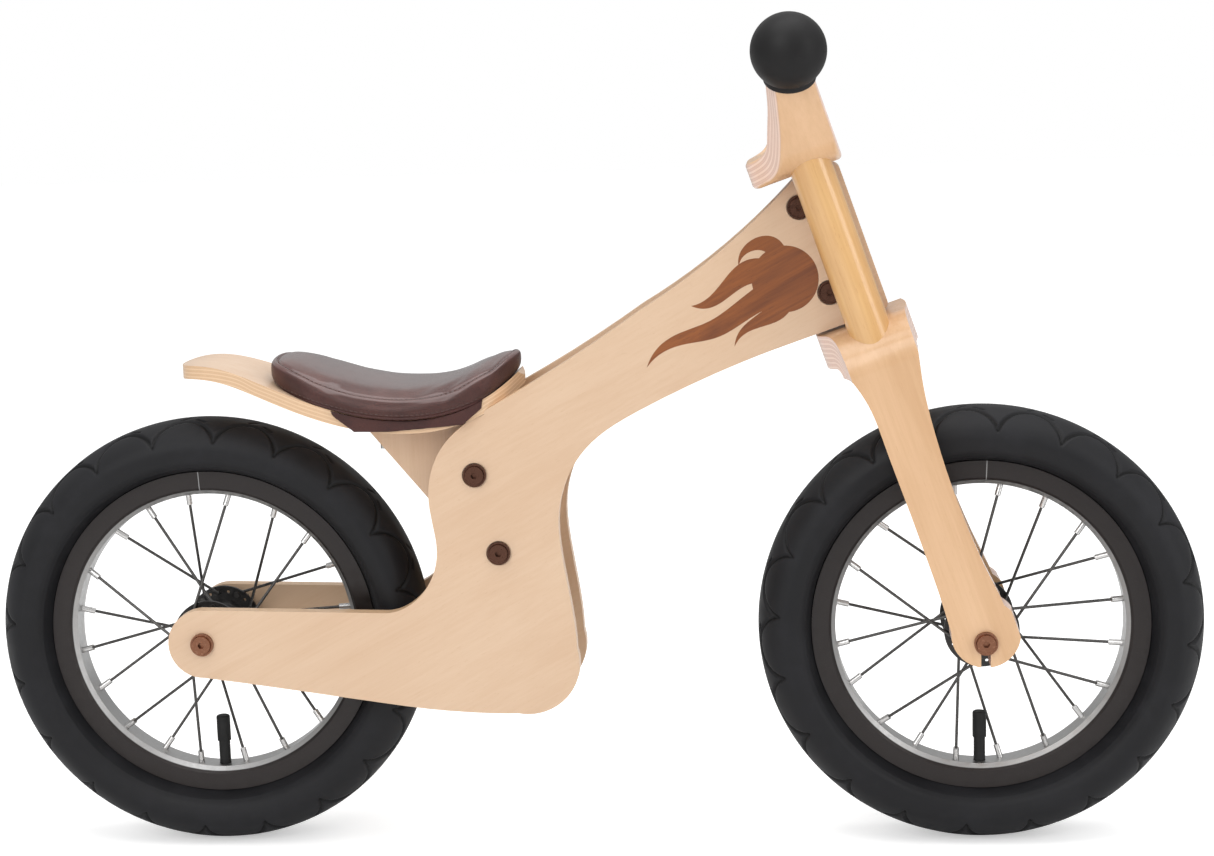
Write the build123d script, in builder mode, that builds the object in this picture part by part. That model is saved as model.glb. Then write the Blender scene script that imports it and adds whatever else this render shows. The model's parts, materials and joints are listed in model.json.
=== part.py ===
"""Wooden balance bike for a toddler, 12 1/2 inch wheels.

The bike stands on the ground plane z = 0 with its wheels in the plane y = 0.
+X points forward, +Y to the rider's left, +Z up, and the origin is on the ground
halfway between the two axles.  All sizes are in millimetres.
"""
from build123d import *
from math import atan2, cos, degrees, radians, sin, sqrt
import os

os.makedirs("parts", exist_ok=True)

# ---------------------------------------------------------------- driving dimensions
WHEELBASE = 524.0
TYRE_R = 149.0  # outside radius of a 12 1/2 x 2 1/4 tyre
TYRE_HALF_W = 27.0
RIM_EDGE_R = 113.0
RIM_INNER_R = 97.0
RIM_HALF_W = 12.0
SPOKE_PAIRS = 5  # four spokes in each repeat, twenty in all
SPOKE_R = 1.0
FLANGE_Y = 22.0
FLANGE_HOLE_R = 21.0

PLATE = 9.0  # frame plywood
REAR_GAP = 34.0  # half the space between the plates at the rear wheel
HEAD_GAP = 7.0  # half the space between the plates at the head
BEND_REAR_X = 150.0  # the plates start to close in here, from the rear axle
BEND_HEAD_X = 383.0  # and run parallel again from here
BEND_R = 250.0
TAIL_R = 23.5

STEER_TILT = 19.0  # steering axis leans back from upright
RAKE = 2.0  # axle ahead of the steering axis
AXLE_DROP = 224.0  # axle below the head's lower face, along the axis
HEAD_H = 101.5
HEAD_FRONT = 17.0
HEAD_REAR = 30.0
HEAD_SLACK = 2.0  # gap for the bush flange at each end of the head

FORK_T = 23.0
FORK_HALF_W = 56.0
FORK_BEND_R = 6.0  # inside radius of the crown bend
BAR_T = 18.0
BAR_FLAT = 26.0  # half the flat base of the handlebar
BAR_BEND_R = 27.0
BAR_RISE = 52.0  # arms rise this steeply, in degrees
POST_R = 14.0
POST_Y = 36.5
STEER_BOLT_R = 4.0

GRIP_R = 23.7
GRIP_NECK_R = 16.5
GRIP_CENTRE = 20.4  # ball centre above the arm's shoulder
TENON_R = 7.0

BOLT_HEAD_R = 7.75
BOLT_R = 3.0
SLEEVE_R = 4.5
AXLE_R = 4.0
RUN_FIT = 0.05  # radial clearance of a running fit
SNUG = 0.02

SEAT_PLY = 9.0
SEAT_HALF_W = 46.0
POST_BOARD = 13.0  # three boards side by side make the seat post

# ---------------------------------------------------------------- frames of reference
REAR_X = -WHEELBASE / 2
c, s = cos(radians(STEER_TILT)), sin(radians(STEER_TILT))
steer_forward = (c, 0, s)  # across the steering axis, forward
steer_up = (-s, 0, c)  # along the steering axis
head_x = WHEELBASE - RAKE * c - AXLE_DROP * s
head_z = TYRE_R - RAKE * s + AXLE_DROP * c
head_point = Vector(REAR_X + head_x, 0, head_z)

side = Plane(origin=(REAR_X, 0, 0), x_dir=(1, 0, 0), z_dir=(0, -1, 0))
plan = Plane(origin=(REAR_X, 0, 0), x_dir=(1, 0, 0), z_dir=(0, 0, 1))
steer_side = Plane(origin=head_point, x_dir=steer_forward, z_dir=(0, -1, 0))
steer_front = Plane(origin=head_point, x_dir=(0, 1, 0), z_dir=steer_forward)
steer_plan = Plane(origin=head_point, x_dir=steer_forward, z_dir=steer_up)


def from_head(u, w):
    """A point u ahead of the steering axis and w up it, in the side plane's own x and z."""
    return (head_x + u * c - w * s, head_z + u * s + w * c)


def smooth(*points, start, end):
    """Spline through the points that leaves and arrives in the given directions."""
    ways = [Vector(*way).normalized() for way in (start, end)]
    return Spline(*points, tangents=ways, tangent_scalars=(1, 1))


def finish(piece, name):
    piece.part.label = name
    export_step(piece.part, f"parts/{name}.step")


# ---------------------------------------------------------------- seat board's shape
seat_line = [(-11, 331.5), (18, 331), (48, 321), (85, 307.5), (115, 299.5), (146, 296.5),
             (176, 300), (202, 310.5), (221, 324)]


def seat_curve(lift):
    """Side curve of the bent seat board, shifted up by lift along its own normal."""
    curve = Spline(*seat_line, mode=Mode.PRIVATE)
    steps = 8
    points = []
    for i in range(steps + 1):
        t = i / steps
        ahead = curve % t
        points.append(curve @ t + Vector(-ahead.Y, ahead.X) * lift)
    return points


def board_section(low, high):
    """Side view of a band that follows the seat board, between two heights above its middle."""
    with BuildLine() as edge:
        under = Spline(*seat_curve(low))
        over = Spline(*seat_curve(high))
        Line(under @ 0, over @ 0)
        Line(under @ 1, over @ 1)
    return edge


def seat_edge():
    """Plan view of the seat board's left edge: rounded tail, wide middle, round nose."""
    return smooth(
        (-11.5, 0), (-4, 25), (22, 34), (80, SEAT_HALF_W), (150, SEAT_HALF_W), (200, 36), (221, 0),
        start=(0, 1), end=(0, -1),
    )


def seat_plan():
    with BuildLine() as edge:
        mirror(seat_edge(), about=Plane.XZ)
    return edge


with BuildPart() as seat_room:  # kept clear of the frame plates
    with BuildSketch(side):
        add(board_section(-SEAT_PLY / 2 - 0.3, SEAT_PLY / 2 + 40))
        make_face()
    extrude(amount=80, both=True)
    with BuildSketch(plan):
        add(seat_plan())
        make_face()
    extrude(amount=500, mode=Mode.INTERSECT)

# ---------------------------------------------------------------- frame plates
seat_bolts = [(189.5, 262.0), (203.5, 208.5)]
head_bolts = [from_head(-16.5, 82.5), from_head(-16.5, 23.0)]
SPOT_R = BOLT_HEAD_R + 0.6


def frame_outline():
    """Side view of a frame plate: tail, seat hump, top edge, head, belly and foot."""
    with BuildLine() as edge:
        tail = CenterArc((0, TYRE_R), TAIL_R, 90, 180)
        stay = Line(tail @ 0, (126, 169.5))
        head = FilletPolyline(
            from_head(-12, HEAD_H),
            from_head(HEAD_FRONT, HEAD_H),
            from_head(HEAD_FRONT, 0),
            from_head(-60, 0),
            radius=5,
        )
        hump = smooth(
            stay @ 1, (153, 184), (162.5, 210), (158.5, 245), (167, 279), (211, 312.5), (301, 368),
            start=stay % 1, end=(0.82, 0.57),
        )
        ThreePointArc(hump @ 1, (360, 409.5), head @ 0)
        belly = smooth(
            head @ 1, (300, 302), (263, 277), (245, 240), (246, 200), (253.5, 140),
            start=(-c, -s), end=(0.02, -1),
        )
        foot = ThreePointArc(belly @ 1, (243.5, 105), (213, 97.2))
        smooth(foot @ 1, (147, 103.5), tail @ 1, start=(-1, 0.02), end=(-1, 0.13))
    return edge


def plate_y(x, depth=0.0):
    """Distance from the middle plane to the plate at x, depth into it from its inner face."""
    slope = (REAR_GAP - HEAD_GAP) / (BEND_HEAD_X - BEND_REAR_X)
    run = min(max(x - BEND_REAR_X, 0), BEND_HEAD_X - BEND_REAR_X)
    return REAR_GAP - slope * run + depth


def plate_strip(near, far):
    """Plan view of the right plate between two depths measured from its inner face."""
    shift = sin(atan2(REAR_GAP - HEAD_GAP, BEND_HEAD_X - BEND_REAR_X) / 2)
    lines = []
    with BuildLine() as edge:
        for depth in (near, far):
            lines.append(
                FilletPolyline(
                    (-60, -REAR_GAP - depth),
                    (BEND_REAR_X + depth * shift, -REAR_GAP - depth),
                    (BEND_HEAD_X + depth * shift, -HEAD_GAP - depth),
                    (500, -HEAD_GAP - depth),
                    radius=BEND_R,
                )
            )
        Line(lines[0] @ 0, lines[1] @ 0)
        Line(lines[0] @ 1, lines[1] @ 1)
    return edge


# Walnut inlay: a round body with licking tongues, set flush in each plate.
inlay_hub = (397, 386)
INLAY_R = 22.0
INLAY_DEPTH = 0.8
inlay_tongues = [
    # middle line from the hub outwards, and the width at each point but the last
    ([(-4, 14), (-14, 24), (-25, 20), (-30, 8)], [14, 10, 5]),
    ([(-10, 4), (-30, 2), (-46, -12), (-62, -16)], [18, 14, 8]),
    ([(-8, -8), (-28, -20), (-48, -32), (-70, -38), (-92, -56)], [18, 14, 12, 8]),
    ([(0, -12), (-14, -26), (-24, -31), (-34, -44)], [14, 10, 6]),
]


def inlay_shape():
    """Plain flame design: tongues that leave a disc and taper to points."""
    with BuildSketch(side) as shape:
        with Locations(inlay_hub):
            Circle(INLAY_R)
        for middle, widths in inlay_tongues:
            points = [Vector(*inlay_hub) + Vector(*p) for p in middle]
            sides = ([], [])
            for i, width in enumerate(widths):
                run = (points[i + 1] - points[max(i - 1, 0)]).normalized()
                across = Vector(-run.Y, run.X) * width / 2
                sides[0].append(points[i] + across)
                sides[1].append(points[i] - across)
            with BuildLine():
                upper = Spline(*sides[0], points[-1])
                lower = Spline(*sides[1], points[-1])
                Line(upper @ 0, lower @ 0)
            make_face()
    return shape


outline = frame_outline()
flames = inlay_shape()

with BuildPart() as inlay_right:
    extrude(flames.sketch, amount=60, both=True)
    with BuildSketch(plan):
        add(plate_strip(PLATE - INLAY_DEPTH, PLATE))
        make_face()
    extrude(amount=600, mode=Mode.INTERSECT)

with BuildPart() as frame_plate_right:
    with BuildSketch(side):
        add(outline)
        make_face()
    extrude(amount=60)
    with BuildSketch(plan):
        add(plate_strip(0, PLATE))
        make_face()
    extrude(amount=600, mode=Mode.INTERSECT)
    with BuildSketch(side):
        with Locations((0, TYRE_R)):
            Circle(BOLT_R + 0.1)
        with Locations(*seat_bolts, *head_bolts):
            Circle(SLEEVE_R + 0.1)
    extrude(amount=60, mode=Mode.SUBTRACT)
    # spot faces: flat seats for the bolt heads where the plate leans, shallow at the head
    seat_faces = [plate_y(x + SPOT_R, PLATE) - 0.1 for x, z in seat_bolts] + [HEAD_GAP + 7.0] * 2
    for centre, face in zip(seat_bolts + head_bolts, seat_faces):
        with BuildSketch(side.offset(face)):
            with Locations(centre):
                Circle(SPOT_R)
        extrude(amount=20, mode=Mode.SUBTRACT)
    for cut in (inlay_right, seat_room):
        add(cut.part, mode=Mode.SUBTRACT)

with BuildPart() as frame_plate_left:
    add(frame_plate_right.part)
    mirror(about=Plane.XZ, mode=Mode.REPLACE)

with BuildPart() as inlay_left:
    add(inlay_right.part)
    mirror(about=Plane.XZ, mode=Mode.REPLACE)

# Hardwood core between the plates at the head; the steering bolt's bushes sit in it.
BUSH_R = 5.0
BUSH_LONG = 20.0
with BuildPart() as head_core:
    with BuildSketch(side):
        add(outline)
        make_face()
    extrude(amount=HEAD_GAP, both=True)
    with BuildSketch(steer_side):
        with Locations(((HEAD_FRONT - HEAD_REAR) / 2, HEAD_H / 2)):
            Rectangle(HEAD_FRONT + HEAD_REAR, HEAD_H + 40)
    extrude(amount=HEAD_GAP, both=True, mode=Mode.INTERSECT)
    with BuildSketch(side):
        with Locations(*head_bolts):
            Circle(SLEEVE_R + 0.1)
    extrude(amount=20, both=True, mode=Mode.SUBTRACT)
    with BuildSketch(steer_plan):
        Circle(BUSH_R)
    extrude(amount=HEAD_H + 10, both=True, mode=Mode.SUBTRACT)


def flanged_bush(face, way):
    """Nylon bush pressed into one end of the head, its flange in the running gap."""
    with BuildPart() as bush:
        with BuildSketch(steer_plan.offset(face)):
            Circle(BUSH_R)
        extrude(amount=-way * BUSH_LONG)
        with BuildSketch(steer_plan.offset(face)):
            Circle(9)
        extrude(amount=way * (HEAD_SLACK - 0.3))
        with BuildSketch(steer_plan.offset(face)):
            Circle(STEER_BOLT_R + RUN_FIT)
        extrude(amount=40, both=True, mode=Mode.SUBTRACT)
    return bush


upper_bush = flanged_bush(HEAD_H, 1)
lower_bush = flanged_bush(0, -1)

# ---------------------------------------------------------------- seat
def board_top(x):
    """Height of the seat board's upper face above the ground, x from the rear axle."""
    return min(seat_curve(SEAT_PLY / 2), key=lambda p: abs(p.X - x)).Y


# Countersunk screws hold the seat board to the post, under the pad.
screw_spots = [(122, 0), (146, 10), (146, -10), (172, 10), (172, -10), (198, 0)]
SCREW_R = 1.7
SCREW_HEAD_R = 3.6
with BuildPart() as seat_screws:
    for x, y in screw_spots:
        with BuildSketch(Plane(origin=(REAR_X + x, y, board_top(x) - 2))):
            Circle(SCREW_HEAD_R)
        extrude(amount=-3, taper=30)
        with BuildSketch(Plane(origin=(REAR_X + x, y, board_top(x) - 3))):
            Circle(SCREW_R)
        extrude(amount=-24)

with BuildPart() as seat_board:
    with BuildSketch(side):
        add(board_section(-SEAT_PLY / 2, SEAT_PLY / 2))
        make_face()
    extrude(amount=70, both=True)
    with BuildSketch(plan):
        add(seat_plan())
        make_face()
    extrude(amount=500, mode=Mode.INTERSECT)
    add(seat_screws.part, mode=Mode.SUBTRACT)
    for x, y in screw_spots:
        with BuildSketch(Plane(origin=(REAR_X + x, y, board_top(x) - 2))):
            Circle(SCREW_HEAD_R)
        extrude(amount=12, mode=Mode.SUBTRACT)

# The seat post is a sandwich of three boards, bolted between the frame plates.
with BuildSketch(side) as post_outline:
    with BuildLine():
        back = Line((104, 305), (152, 246.4))
        smooth(
            back @ 1, (181, 206), (203.5, 186.5), (224, 208), (223, 262), (213, 303),
            start=back % 1, end=(-0.2, 1),
        )
        Polyline((213, 303), (213, 322), (104, 322), back @ 0)
    make_face()
    with Locations(*seat_bolts):
        Circle(SLEEVE_R + 0.1, mode=Mode.SUBTRACT)


def post_board(from_y, to_y):
    """One board of the seat post, its top cut to the underside of the seat board."""
    with BuildPart() as board:
        with BuildSketch(Plane(origin=(REAR_X, -from_y, 0), x_dir=(1, 0, 0), z_dir=(0, -1, 0))):
            add(post_outline.sketch_local)
        extrude(amount=to_y - from_y)
        with BuildSketch(side):
            add(board_section(-SEAT_PLY / 2, 60))
            make_face()
        extrude(amount=60, both=True, mode=Mode.SUBTRACT)
        add(seat_screws.part, mode=Mode.SUBTRACT)
    return board


seat_post_core = post_board(-POST_BOARD / 2, POST_BOARD / 2)
seat_post_cheek_right = post_board(POST_BOARD / 2, 1.5 * POST_BOARD)
seat_post_cheek_left = post_board(-1.5 * POST_BOARD, -POST_BOARD / 2)

# Spacer sleeves fill the gap from the seat post to the leaning plates.
with BuildPart() as seat_post_spacers:
    for way in (1, -1):
        with BuildSketch(side.offset(way * 1.5 * POST_BOARD)):
            with Locations(*seat_bolts):
                Circle(12)
                Circle(SLEEVE_R + 0.1, mode=Mode.SUBTRACT)
        extrude(amount=way * 15)
    add(frame_plate_right.part, mode=Mode.SUBTRACT)
    add(frame_plate_left.part, mode=Mode.SUBTRACT)

# Padded leather saddle, and the leather flap that wraps the board's edge on each side.
PAD_HIGH = 17.0
with BuildPart() as seat_pad:
    with BuildSketch(side):
        add(board_section(SEAT_PLY / 2, SEAT_PLY / 2 + PAD_HIGH))
        make_face()
    extrude(amount=80, both=True)
    with BuildSketch(plan):
        with BuildLine():
            half = smooth(
                (50, 0), (55, 28), (75, 44), (100, 50), (130, 52), (168, 50), (202, 38), (219, 0),
                start=(0, 1), end=(0, -1),
            )
            mirror(half, about=Plane.XZ)
        make_face()
    extrude(amount=500, mode=Mode.INTERSECT)
    fillet(seat_pad.edges().group_by(Axis.Z)[-1], 4)

FLAP_T = 1.6
FLAP_GAP = 0.2
with BuildPart() as seat_flap_left:
    with BuildSketch(plan):
        with BuildLine(mode=Mode.PRIVATE):
            board_edge = seat_edge()
        with BuildLine():
            bands = []
            for grow in (FLAP_GAP, FLAP_GAP + FLAP_T):
                points = []
                for i in range(8):
                    t = 0.38 + 0.5 * i / 7
                    run = board_edge % t
                    points.append(board_edge @ t + Vector(-run.Y, run.X) * grow)
                bands.append(Spline(*points))
            Line(bands[0] @ 0, bands[1] @ 0)
            Line(bands[0] @ 1, bands[1] @ 1)
        make_face()
    extrude(amount=400)
    with BuildSketch(side):
        with BuildLine():
            Polyline((94, 315), (98, 305), (112, 294), (134, 293.5), (184, 297), (196, 307), (198, 320))
            Line((198, 320), (94, 315))
        make_face()
    extrude(amount=-70, mode=Mode.INTERSECT)
    add(seat_pad.part, mode=Mode.SUBTRACT)

with BuildPart() as seat_flap_right:
    add(seat_flap_left.part)
    mirror(about=Plane.XZ, mode=Mode.REPLACE)

# ---------------------------------------------------------------- bolts
def bolts(places, shank, bore=0.0, radius=BOLT_R):
    """Bolts seated on the given planes; with a bore they are sleeve nuts.

    The head is low and domed, with a stepped rim and a 4 mm hexagon socket.
    """
    with BuildPart() as group:
        for place in places:
            with BuildSketch(place):
                Circle(radius)
            extrude(amount=-shank)
            with BuildSketch(place):
                Circle(BOLT_HEAD_R)
            extrude(amount=2.6)
            with BuildSketch(place.offset(2.6)):
                Circle(BOLT_HEAD_R - 1.1)
            extrude(amount=1.6, taper=18)
            with BuildSketch(place.offset(4.2)):
                RegularPolygon(radius=2, side_count=6, major_radius=False)
            extrude(amount=-2.6, mode=Mode.SUBTRACT)
            if bore:
                with BuildSketch(place.offset(-shank)):
                    Circle(bore)
                extrude(amount=shank - 3, mode=Mode.SUBTRACT)
    return group


def seat_on(centre, face, way):
    """Plane a bolt head sits on: way 1 for the right side of the bike, -1 for the left."""
    x, z = centre
    return Plane(origin=(REAR_X + x, -way * face, z), x_dir=(1, 0, 0), z_dir=(0, -way, 0))


post_faces = list(zip(seat_bolts, seat_faces[:2]))
head_faces = list(zip(head_bolts, seat_faces[2:]))
seat_post_bolts = bolts([seat_on(p, f, 1) for p, f in post_faces], 50)
seat_post_nuts = bolts([seat_on(p, f, -1) for p, f in post_faces], 32, BOLT_R + SNUG, SLEEVE_R)
head_core_bolts = bolts([seat_on(p, f, 1) for p, f in head_faces], 20)
head_core_nuts = bolts([seat_on(p, f, -1) for p, f in head_faces], 18, BOLT_R + SNUG, SLEEVE_R)

rear_axle_bolts = bolts([seat_on((0, TYRE_R), REAR_GAP + PLATE, way) for way in (1, -1)], 23)
FORK_GAP = FORK_HALF_W - FORK_T
front_axle_bolts = bolts(
    [seat_on((WHEELBASE, TYRE_R), FORK_HALF_W, way) for way in (1, -1)], FORK_T + 14
)

# ---------------------------------------------------------------- steering
crown_low = -HEAD_SLACK - FORK_T
fork_turn = FORK_BEND_R + FORK_T
fork_flat = FORK_HALF_W - fork_turn
LEG_END = -250.0


def fork_plan():
    """The crown seen along the steering axis, one side: wide in the middle, narrow legs."""
    with BuildLine() as edge:
        back = smooth((-35, 0), (-33.5, -14), (-29, -27), (-24, -41), (-21.5, -58), start=(0, -1), end=(0.1, -1))
        front = smooth((28, 0), (27.5, -14), (26, -27), (25, -41), (24.5, -58), start=(0, -1), end=(0, -1))
        Line(back @ 0, front @ 0)
        Line(back @ 1, front @ 1)
    return edge


def fork_side():
    """A leg seen from the side: hollow front, toe forward round the axle, open crown above."""
    with BuildLine() as edge:
        back = smooth(
            (-21.5, -33), (-17.2, -50), (-16, -80), (-15.6, -118), (-15.5, -155), (-15.8, -185),
            (-16.9, -210),
            start=(0.35, -1), end=(-0.05, -1),
        )
        ThreePointArc(back @ 1, (3, -241), (21.3, -204))
        front = smooth(
            (21.3, -204), (19.2, -185), (16.6, -155), (15.6, -118), (17, -80), (20.5, -48), (24.5, -28),
            start=(-0.02, 1), end=(0.2, 1),
        )
        Polyline(front @ 1, (40, -25), (40, 1), (-45, 1), (-45, crown_low - 1), back @ 0)
    return edge


with BuildPart() as fork:
    with BuildSketch(steer_front):
        with BuildLine():
            outer = FilletPolyline(
                (0, -HEAD_SLACK), (FORK_HALF_W, -HEAD_SLACK), (FORK_HALF_W, LEG_END), radius=fork_turn
            )
            inner = FilletPolyline(
                (0, crown_low), (FORK_HALF_W - FORK_T, crown_low), (FORK_HALF_W - FORK_T, LEG_END),
                radius=FORK_BEND_R,
            )
            Line(outer @ 0, inner @ 0)
            Line(outer @ 1, inner @ 1)
        make_face()
    extrude(amount=60, both=True)
    with BuildSketch(steer_plan):
        add(fork_plan())
        make_face()
        mirror(about=Plane.XZ)
    extrude(amount=-300, mode=Mode.INTERSECT)
    with BuildSketch(steer_side):
        add(fork_side())
        make_face()
    extrude(amount=80, both=True, mode=Mode.INTERSECT)
    with BuildSketch(side):
        with Locations((WHEELBASE, TYRE_R)):
            Circle(BOLT_R + 0.1)
        with Locations((WHEELBASE, TYRE_R - 20)):
            Rectangle(2 * BOLT_R + 0.2, 40)
    extrude(amount=80, both=True, mode=Mode.SUBTRACT)
    mirror(about=Plane.XZ)
    with BuildSketch(steer_plan):
        Circle(STEER_BOLT_R + 0.1)
    extrude(amount=-60, mode=Mode.SUBTRACT)

bar_low = HEAD_H + HEAD_SLACK
bar_top = bar_low + BAR_T
bar_turn = BAR_BEND_R + BAR_T
bend_w = bar_top + BAR_BEND_R
arm_out, arm_up = cos(radians(BAR_RISE)), sin(radians(BAR_RISE))
arm_y = BAR_FLAT + (bar_turn - BAR_T / 2) * arm_up
arm_w = bend_w - (bar_turn - BAR_T / 2) * arm_out
ARM_LONG = 49.0  # straight part of an arm, up to the grip
ARM_SPARE = 30.0
SHOULDER_U = 6.9
BAR_SINK = 6.5  # the steering bolt's head lies below the handlebar's flat top
GRIP_LEAN = 13.8  # the grip's own axis turns this far forward of the arm
arm_way = Vector(0, arm_out, 0) + Vector(*steer_up) * arm_up
grip_way = Vector(*steer_forward) * sin(radians(GRIP_LEAN)) + arm_way * cos(radians(GRIP_LEAN))
shoulder = (
    head_point + Vector(0, arm_y, 0) + Vector(*steer_up) * arm_w
    + arm_way * ARM_LONG + Vector(*steer_forward) * SHOULDER_U
)
grip_seat = Plane(origin=shoulder, x_dir=steer_forward, z_dir=grip_way)
TENON_LONG = 24.0

with BuildPart() as handlebar:
    with BuildSketch(steer_front):
        with BuildLine():
            edges = []
            for radius, low in ((BAR_BEND_R, bar_top), (bar_turn, bar_low)):
                flat = Line((0, low), (BAR_FLAT, low))
                bend = CenterArc((BAR_FLAT, bend_w), radius, -90, BAR_RISE)
                run = Line(bend @ 1, (bend @ 1) + Vector(arm_out, arm_up) * (ARM_LONG + ARM_SPARE))
                edges.append((flat @ 0, run @ 1))
            Line(edges[0][0], edges[1][0])
            Line(edges[0][1], edges[1][1])
        make_face()
    extrude(amount=60, both=True)
    with BuildSketch(steer_plan):
        with BuildLine():
            back = smooth(
                (-40, 0), (-40, 18), (-37.5, 29), (-29, 38), (-21.5, 49), (-17, 58), (-13, 66),
                (-9, 77), (-5, 90), (-1, 110), (1, 125),
                start=(0, 1), end=(0.1, 1),
            )
            front = Line((21, 0), (21, 125))
            Line(back @ 0, front @ 0)
            Line(back @ 1, front @ 1)
        make_face()
    extrude(amount=300, mode=Mode.INTERSECT)
    split(bisect_by=grip_seat, keep=Keep.BOTTOM)
    with BuildSketch(grip_seat):
        Circle(TENON_R)
    extrude(amount=TENON_LONG)
    mirror(about=Plane.XZ)
    fillet(handlebar.edges().filter_by(GeomType.CIRCLE, reverse=True).filter_by(lambda e: e.length > 12), 3)
    with BuildSketch(steer_plan.offset(bar_low)):
        Circle(STEER_BOLT_R + 0.1)
    extrude(amount=40, mode=Mode.SUBTRACT)
    with BuildSketch(steer_plan.offset(bar_top - BAR_SINK)):
        Circle(12)
    extrude(amount=40, mode=Mode.SUBTRACT)

# Round posts tie the handlebar to the fork on both sides of the head.
DOWEL_R = 5.0
dowel_spans = [(-18, 22), (88, 116)]
with BuildPart() as post_dowels:
    for low, high in dowel_spans:
        with BuildSketch(steer_plan.offset(low)):
            with Locations((0, POST_Y), (0, -POST_Y)):
                Circle(DOWEL_R)
        extrude(amount=high - low)

for wood in (fork, handlebar):
    with wood:
        add(post_dowels.part, mode=Mode.SUBTRACT)

with BuildPart() as post_left:
    with BuildSketch(steer_plan.offset(-16)):
        with Locations((0, POST_Y)):
            Circle(POST_R)
    extrude(amount=130)
    for neighbour in (fork, handlebar, post_dowels):
        add(neighbour.part, mode=Mode.SUBTRACT)

with BuildPart() as post_right:
    add(post_left.part)
    mirror(about=Plane.XZ, mode=Mode.REPLACE)

WASHER_T = 1.6
with BuildPart() as steering_washers:
    for face in (bar_top - BAR_SINK, crown_low - WASHER_T):
        with BuildSketch(steer_plan.offset(face)):
            Circle(11)
            Circle(STEER_BOLT_R + 0.2, mode=Mode.SUBTRACT)
        extrude(amount=WASHER_T)

NUT_T = 6.8
steering_bolt = bolts(
    [steer_plan.offset(bar_top - BAR_SINK + WASHER_T)],
    bar_top - BAR_SINK - crown_low + 2 * WASHER_T + NUT_T + 2,
    radius=STEER_BOLT_R,
)
with BuildPart() as steering_nut:
    with BuildSketch(steer_plan.offset(crown_low - WASHER_T)):
        RegularPolygon(radius=6.5, side_count=6, major_radius=False)
        Circle(STEER_BOLT_R + SNUG, mode=Mode.SUBTRACT)
    extrude(amount=-NUT_T)

with BuildPart() as grip_left:
    with Locations(grip_seat.offset(GRIP_CENTRE).location):
        Sphere(GRIP_R)
    with BuildSketch(grip_seat):
        Circle(GRIP_NECK_R)
    extrude(amount=8)
    split(bisect_by=grip_seat, keep=Keep.TOP)
    with BuildSketch(grip_seat):
        Circle(TENON_R + SNUG)
    extrude(amount=TENON_LONG + 1, mode=Mode.SUBTRACT)

with BuildPart() as grip_right:
    add(grip_left.part)
    mirror(about=Plane.XZ, mode=Mode.REPLACE)

# ---------------------------------------------------------------- wheels
wheel_centre = Vector(REAR_X, 0, TYRE_R)
spin_axis = Axis(wheel_centre, (0, 1, 0))
wheel_section = Plane(origin=wheel_centre, x_dir=(0, 1, 0), z_dir=(1, 0, 0))


def rim_point(radius, angle, y):
    """A point of the rear wheel: radius and angle in the wheel's plane, y across it."""
    return wheel_centre + Vector(radius * cos(radians(angle)), y, radius * sin(radians(angle)))


with BuildPart() as tyre:
    with BuildSketch(wheel_section):
        with BuildLine():
            outer = smooth(
                (12.6, 113.8), (24.5, 120), (TYRE_HALF_W, 129), (22, 140), (11.5, 146.8), (0, TYRE_R),
                start=(1, 0.25), end=(-1, 0),
            )
            inner = smooth((6, 112.6), (20, 119.5), (23, 129), (17, 139), (0, 144.8), start=(1, 0.2), end=(-1, 0))
            Polyline(inner @ 0, (5.6, 105.2), (9.4, 105.2), (9.4, 113.3), outer @ 0)
            Line(inner @ 1, outer @ 1)
        make_face()
        mirror(about=Plane.YZ)
    revolve(axis=spin_axis)

with BuildPart() as inner_tube:
    with BuildSketch(wheel_section):
        with Locations((0, 129)):
            Circle(15.5)
            Circle(14.3, mode=Mode.SUBTRACT)
    revolve(axis=spin_axis)

VALVE_HOLE_R = 4.2
VALVE_ANGLE = -90.0
valve_seat = Plane(origin=rim_point(113.4, VALVE_ANGLE, 0), x_dir=(1, 0, 0), z_dir=(0, 0, 1))

spoke_ways = []
for repeat in range(SPOKE_PAIRS):
    for i, (flank, lead, outside) in enumerate(((-1, 1, 1), (1, 1, 1), (-1, -1, 0), (1, -1, 0))):
        rim_angle = 72 * repeat + 18 * i + 9
        hole = rim_point(FLANGE_HOLE_R, rim_angle + 36 * lead, 0)
        run_y = FLANGE_Y + (3.5 if outside else -3.5)
        bend = hole + Vector(0, flank * run_y, 0)
        far = rim_point(104, rim_angle, flank * 1.5)
        spoke_ways.append((bend, far, hole, flank, outside))


def along(start, end, back=0.0):
    """Plane across the line from start to end, set back from its end."""
    way = (end - start).normalized()
    return Plane(origin=end - way * back, z_dir=way)


with BuildPart() as rim:
    with BuildSketch(wheel_section):
        with BuildLine():
            Polyline(
                (0, RIM_INNER_R), (8, RIM_INNER_R), (RIM_HALF_W, 101.5), (RIM_HALF_W, RIM_EDGE_R),
                (9.6, RIM_EDGE_R), (9.6, 103.5), (7, 101), (0, 101), (0, RIM_INNER_R),
            )
        make_face()
        mirror(about=Plane.YZ)
    revolve(axis=spin_axis)
    with BuildSketch(valve_seat):
        Circle(VALVE_HOLE_R)
    extrude(amount=30, mode=Mode.SUBTRACT)
    for bend, far, hole, flank, outside in spoke_ways:
        with BuildSketch(along(bend, far)):
            Circle(2.1)
        extrude(amount=-12, mode=Mode.SUBTRACT)

with BuildPart() as rim_tape:
    with BuildSketch(wheel_section):
        with Locations((0, 104.4)):
            Rectangle(18, 0.8)
    revolve(axis=spin_axis)
    with BuildSketch(valve_seat):
        Circle(VALVE_HOLE_R)
    extrude(amount=30, mode=Mode.SUBTRACT)

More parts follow.
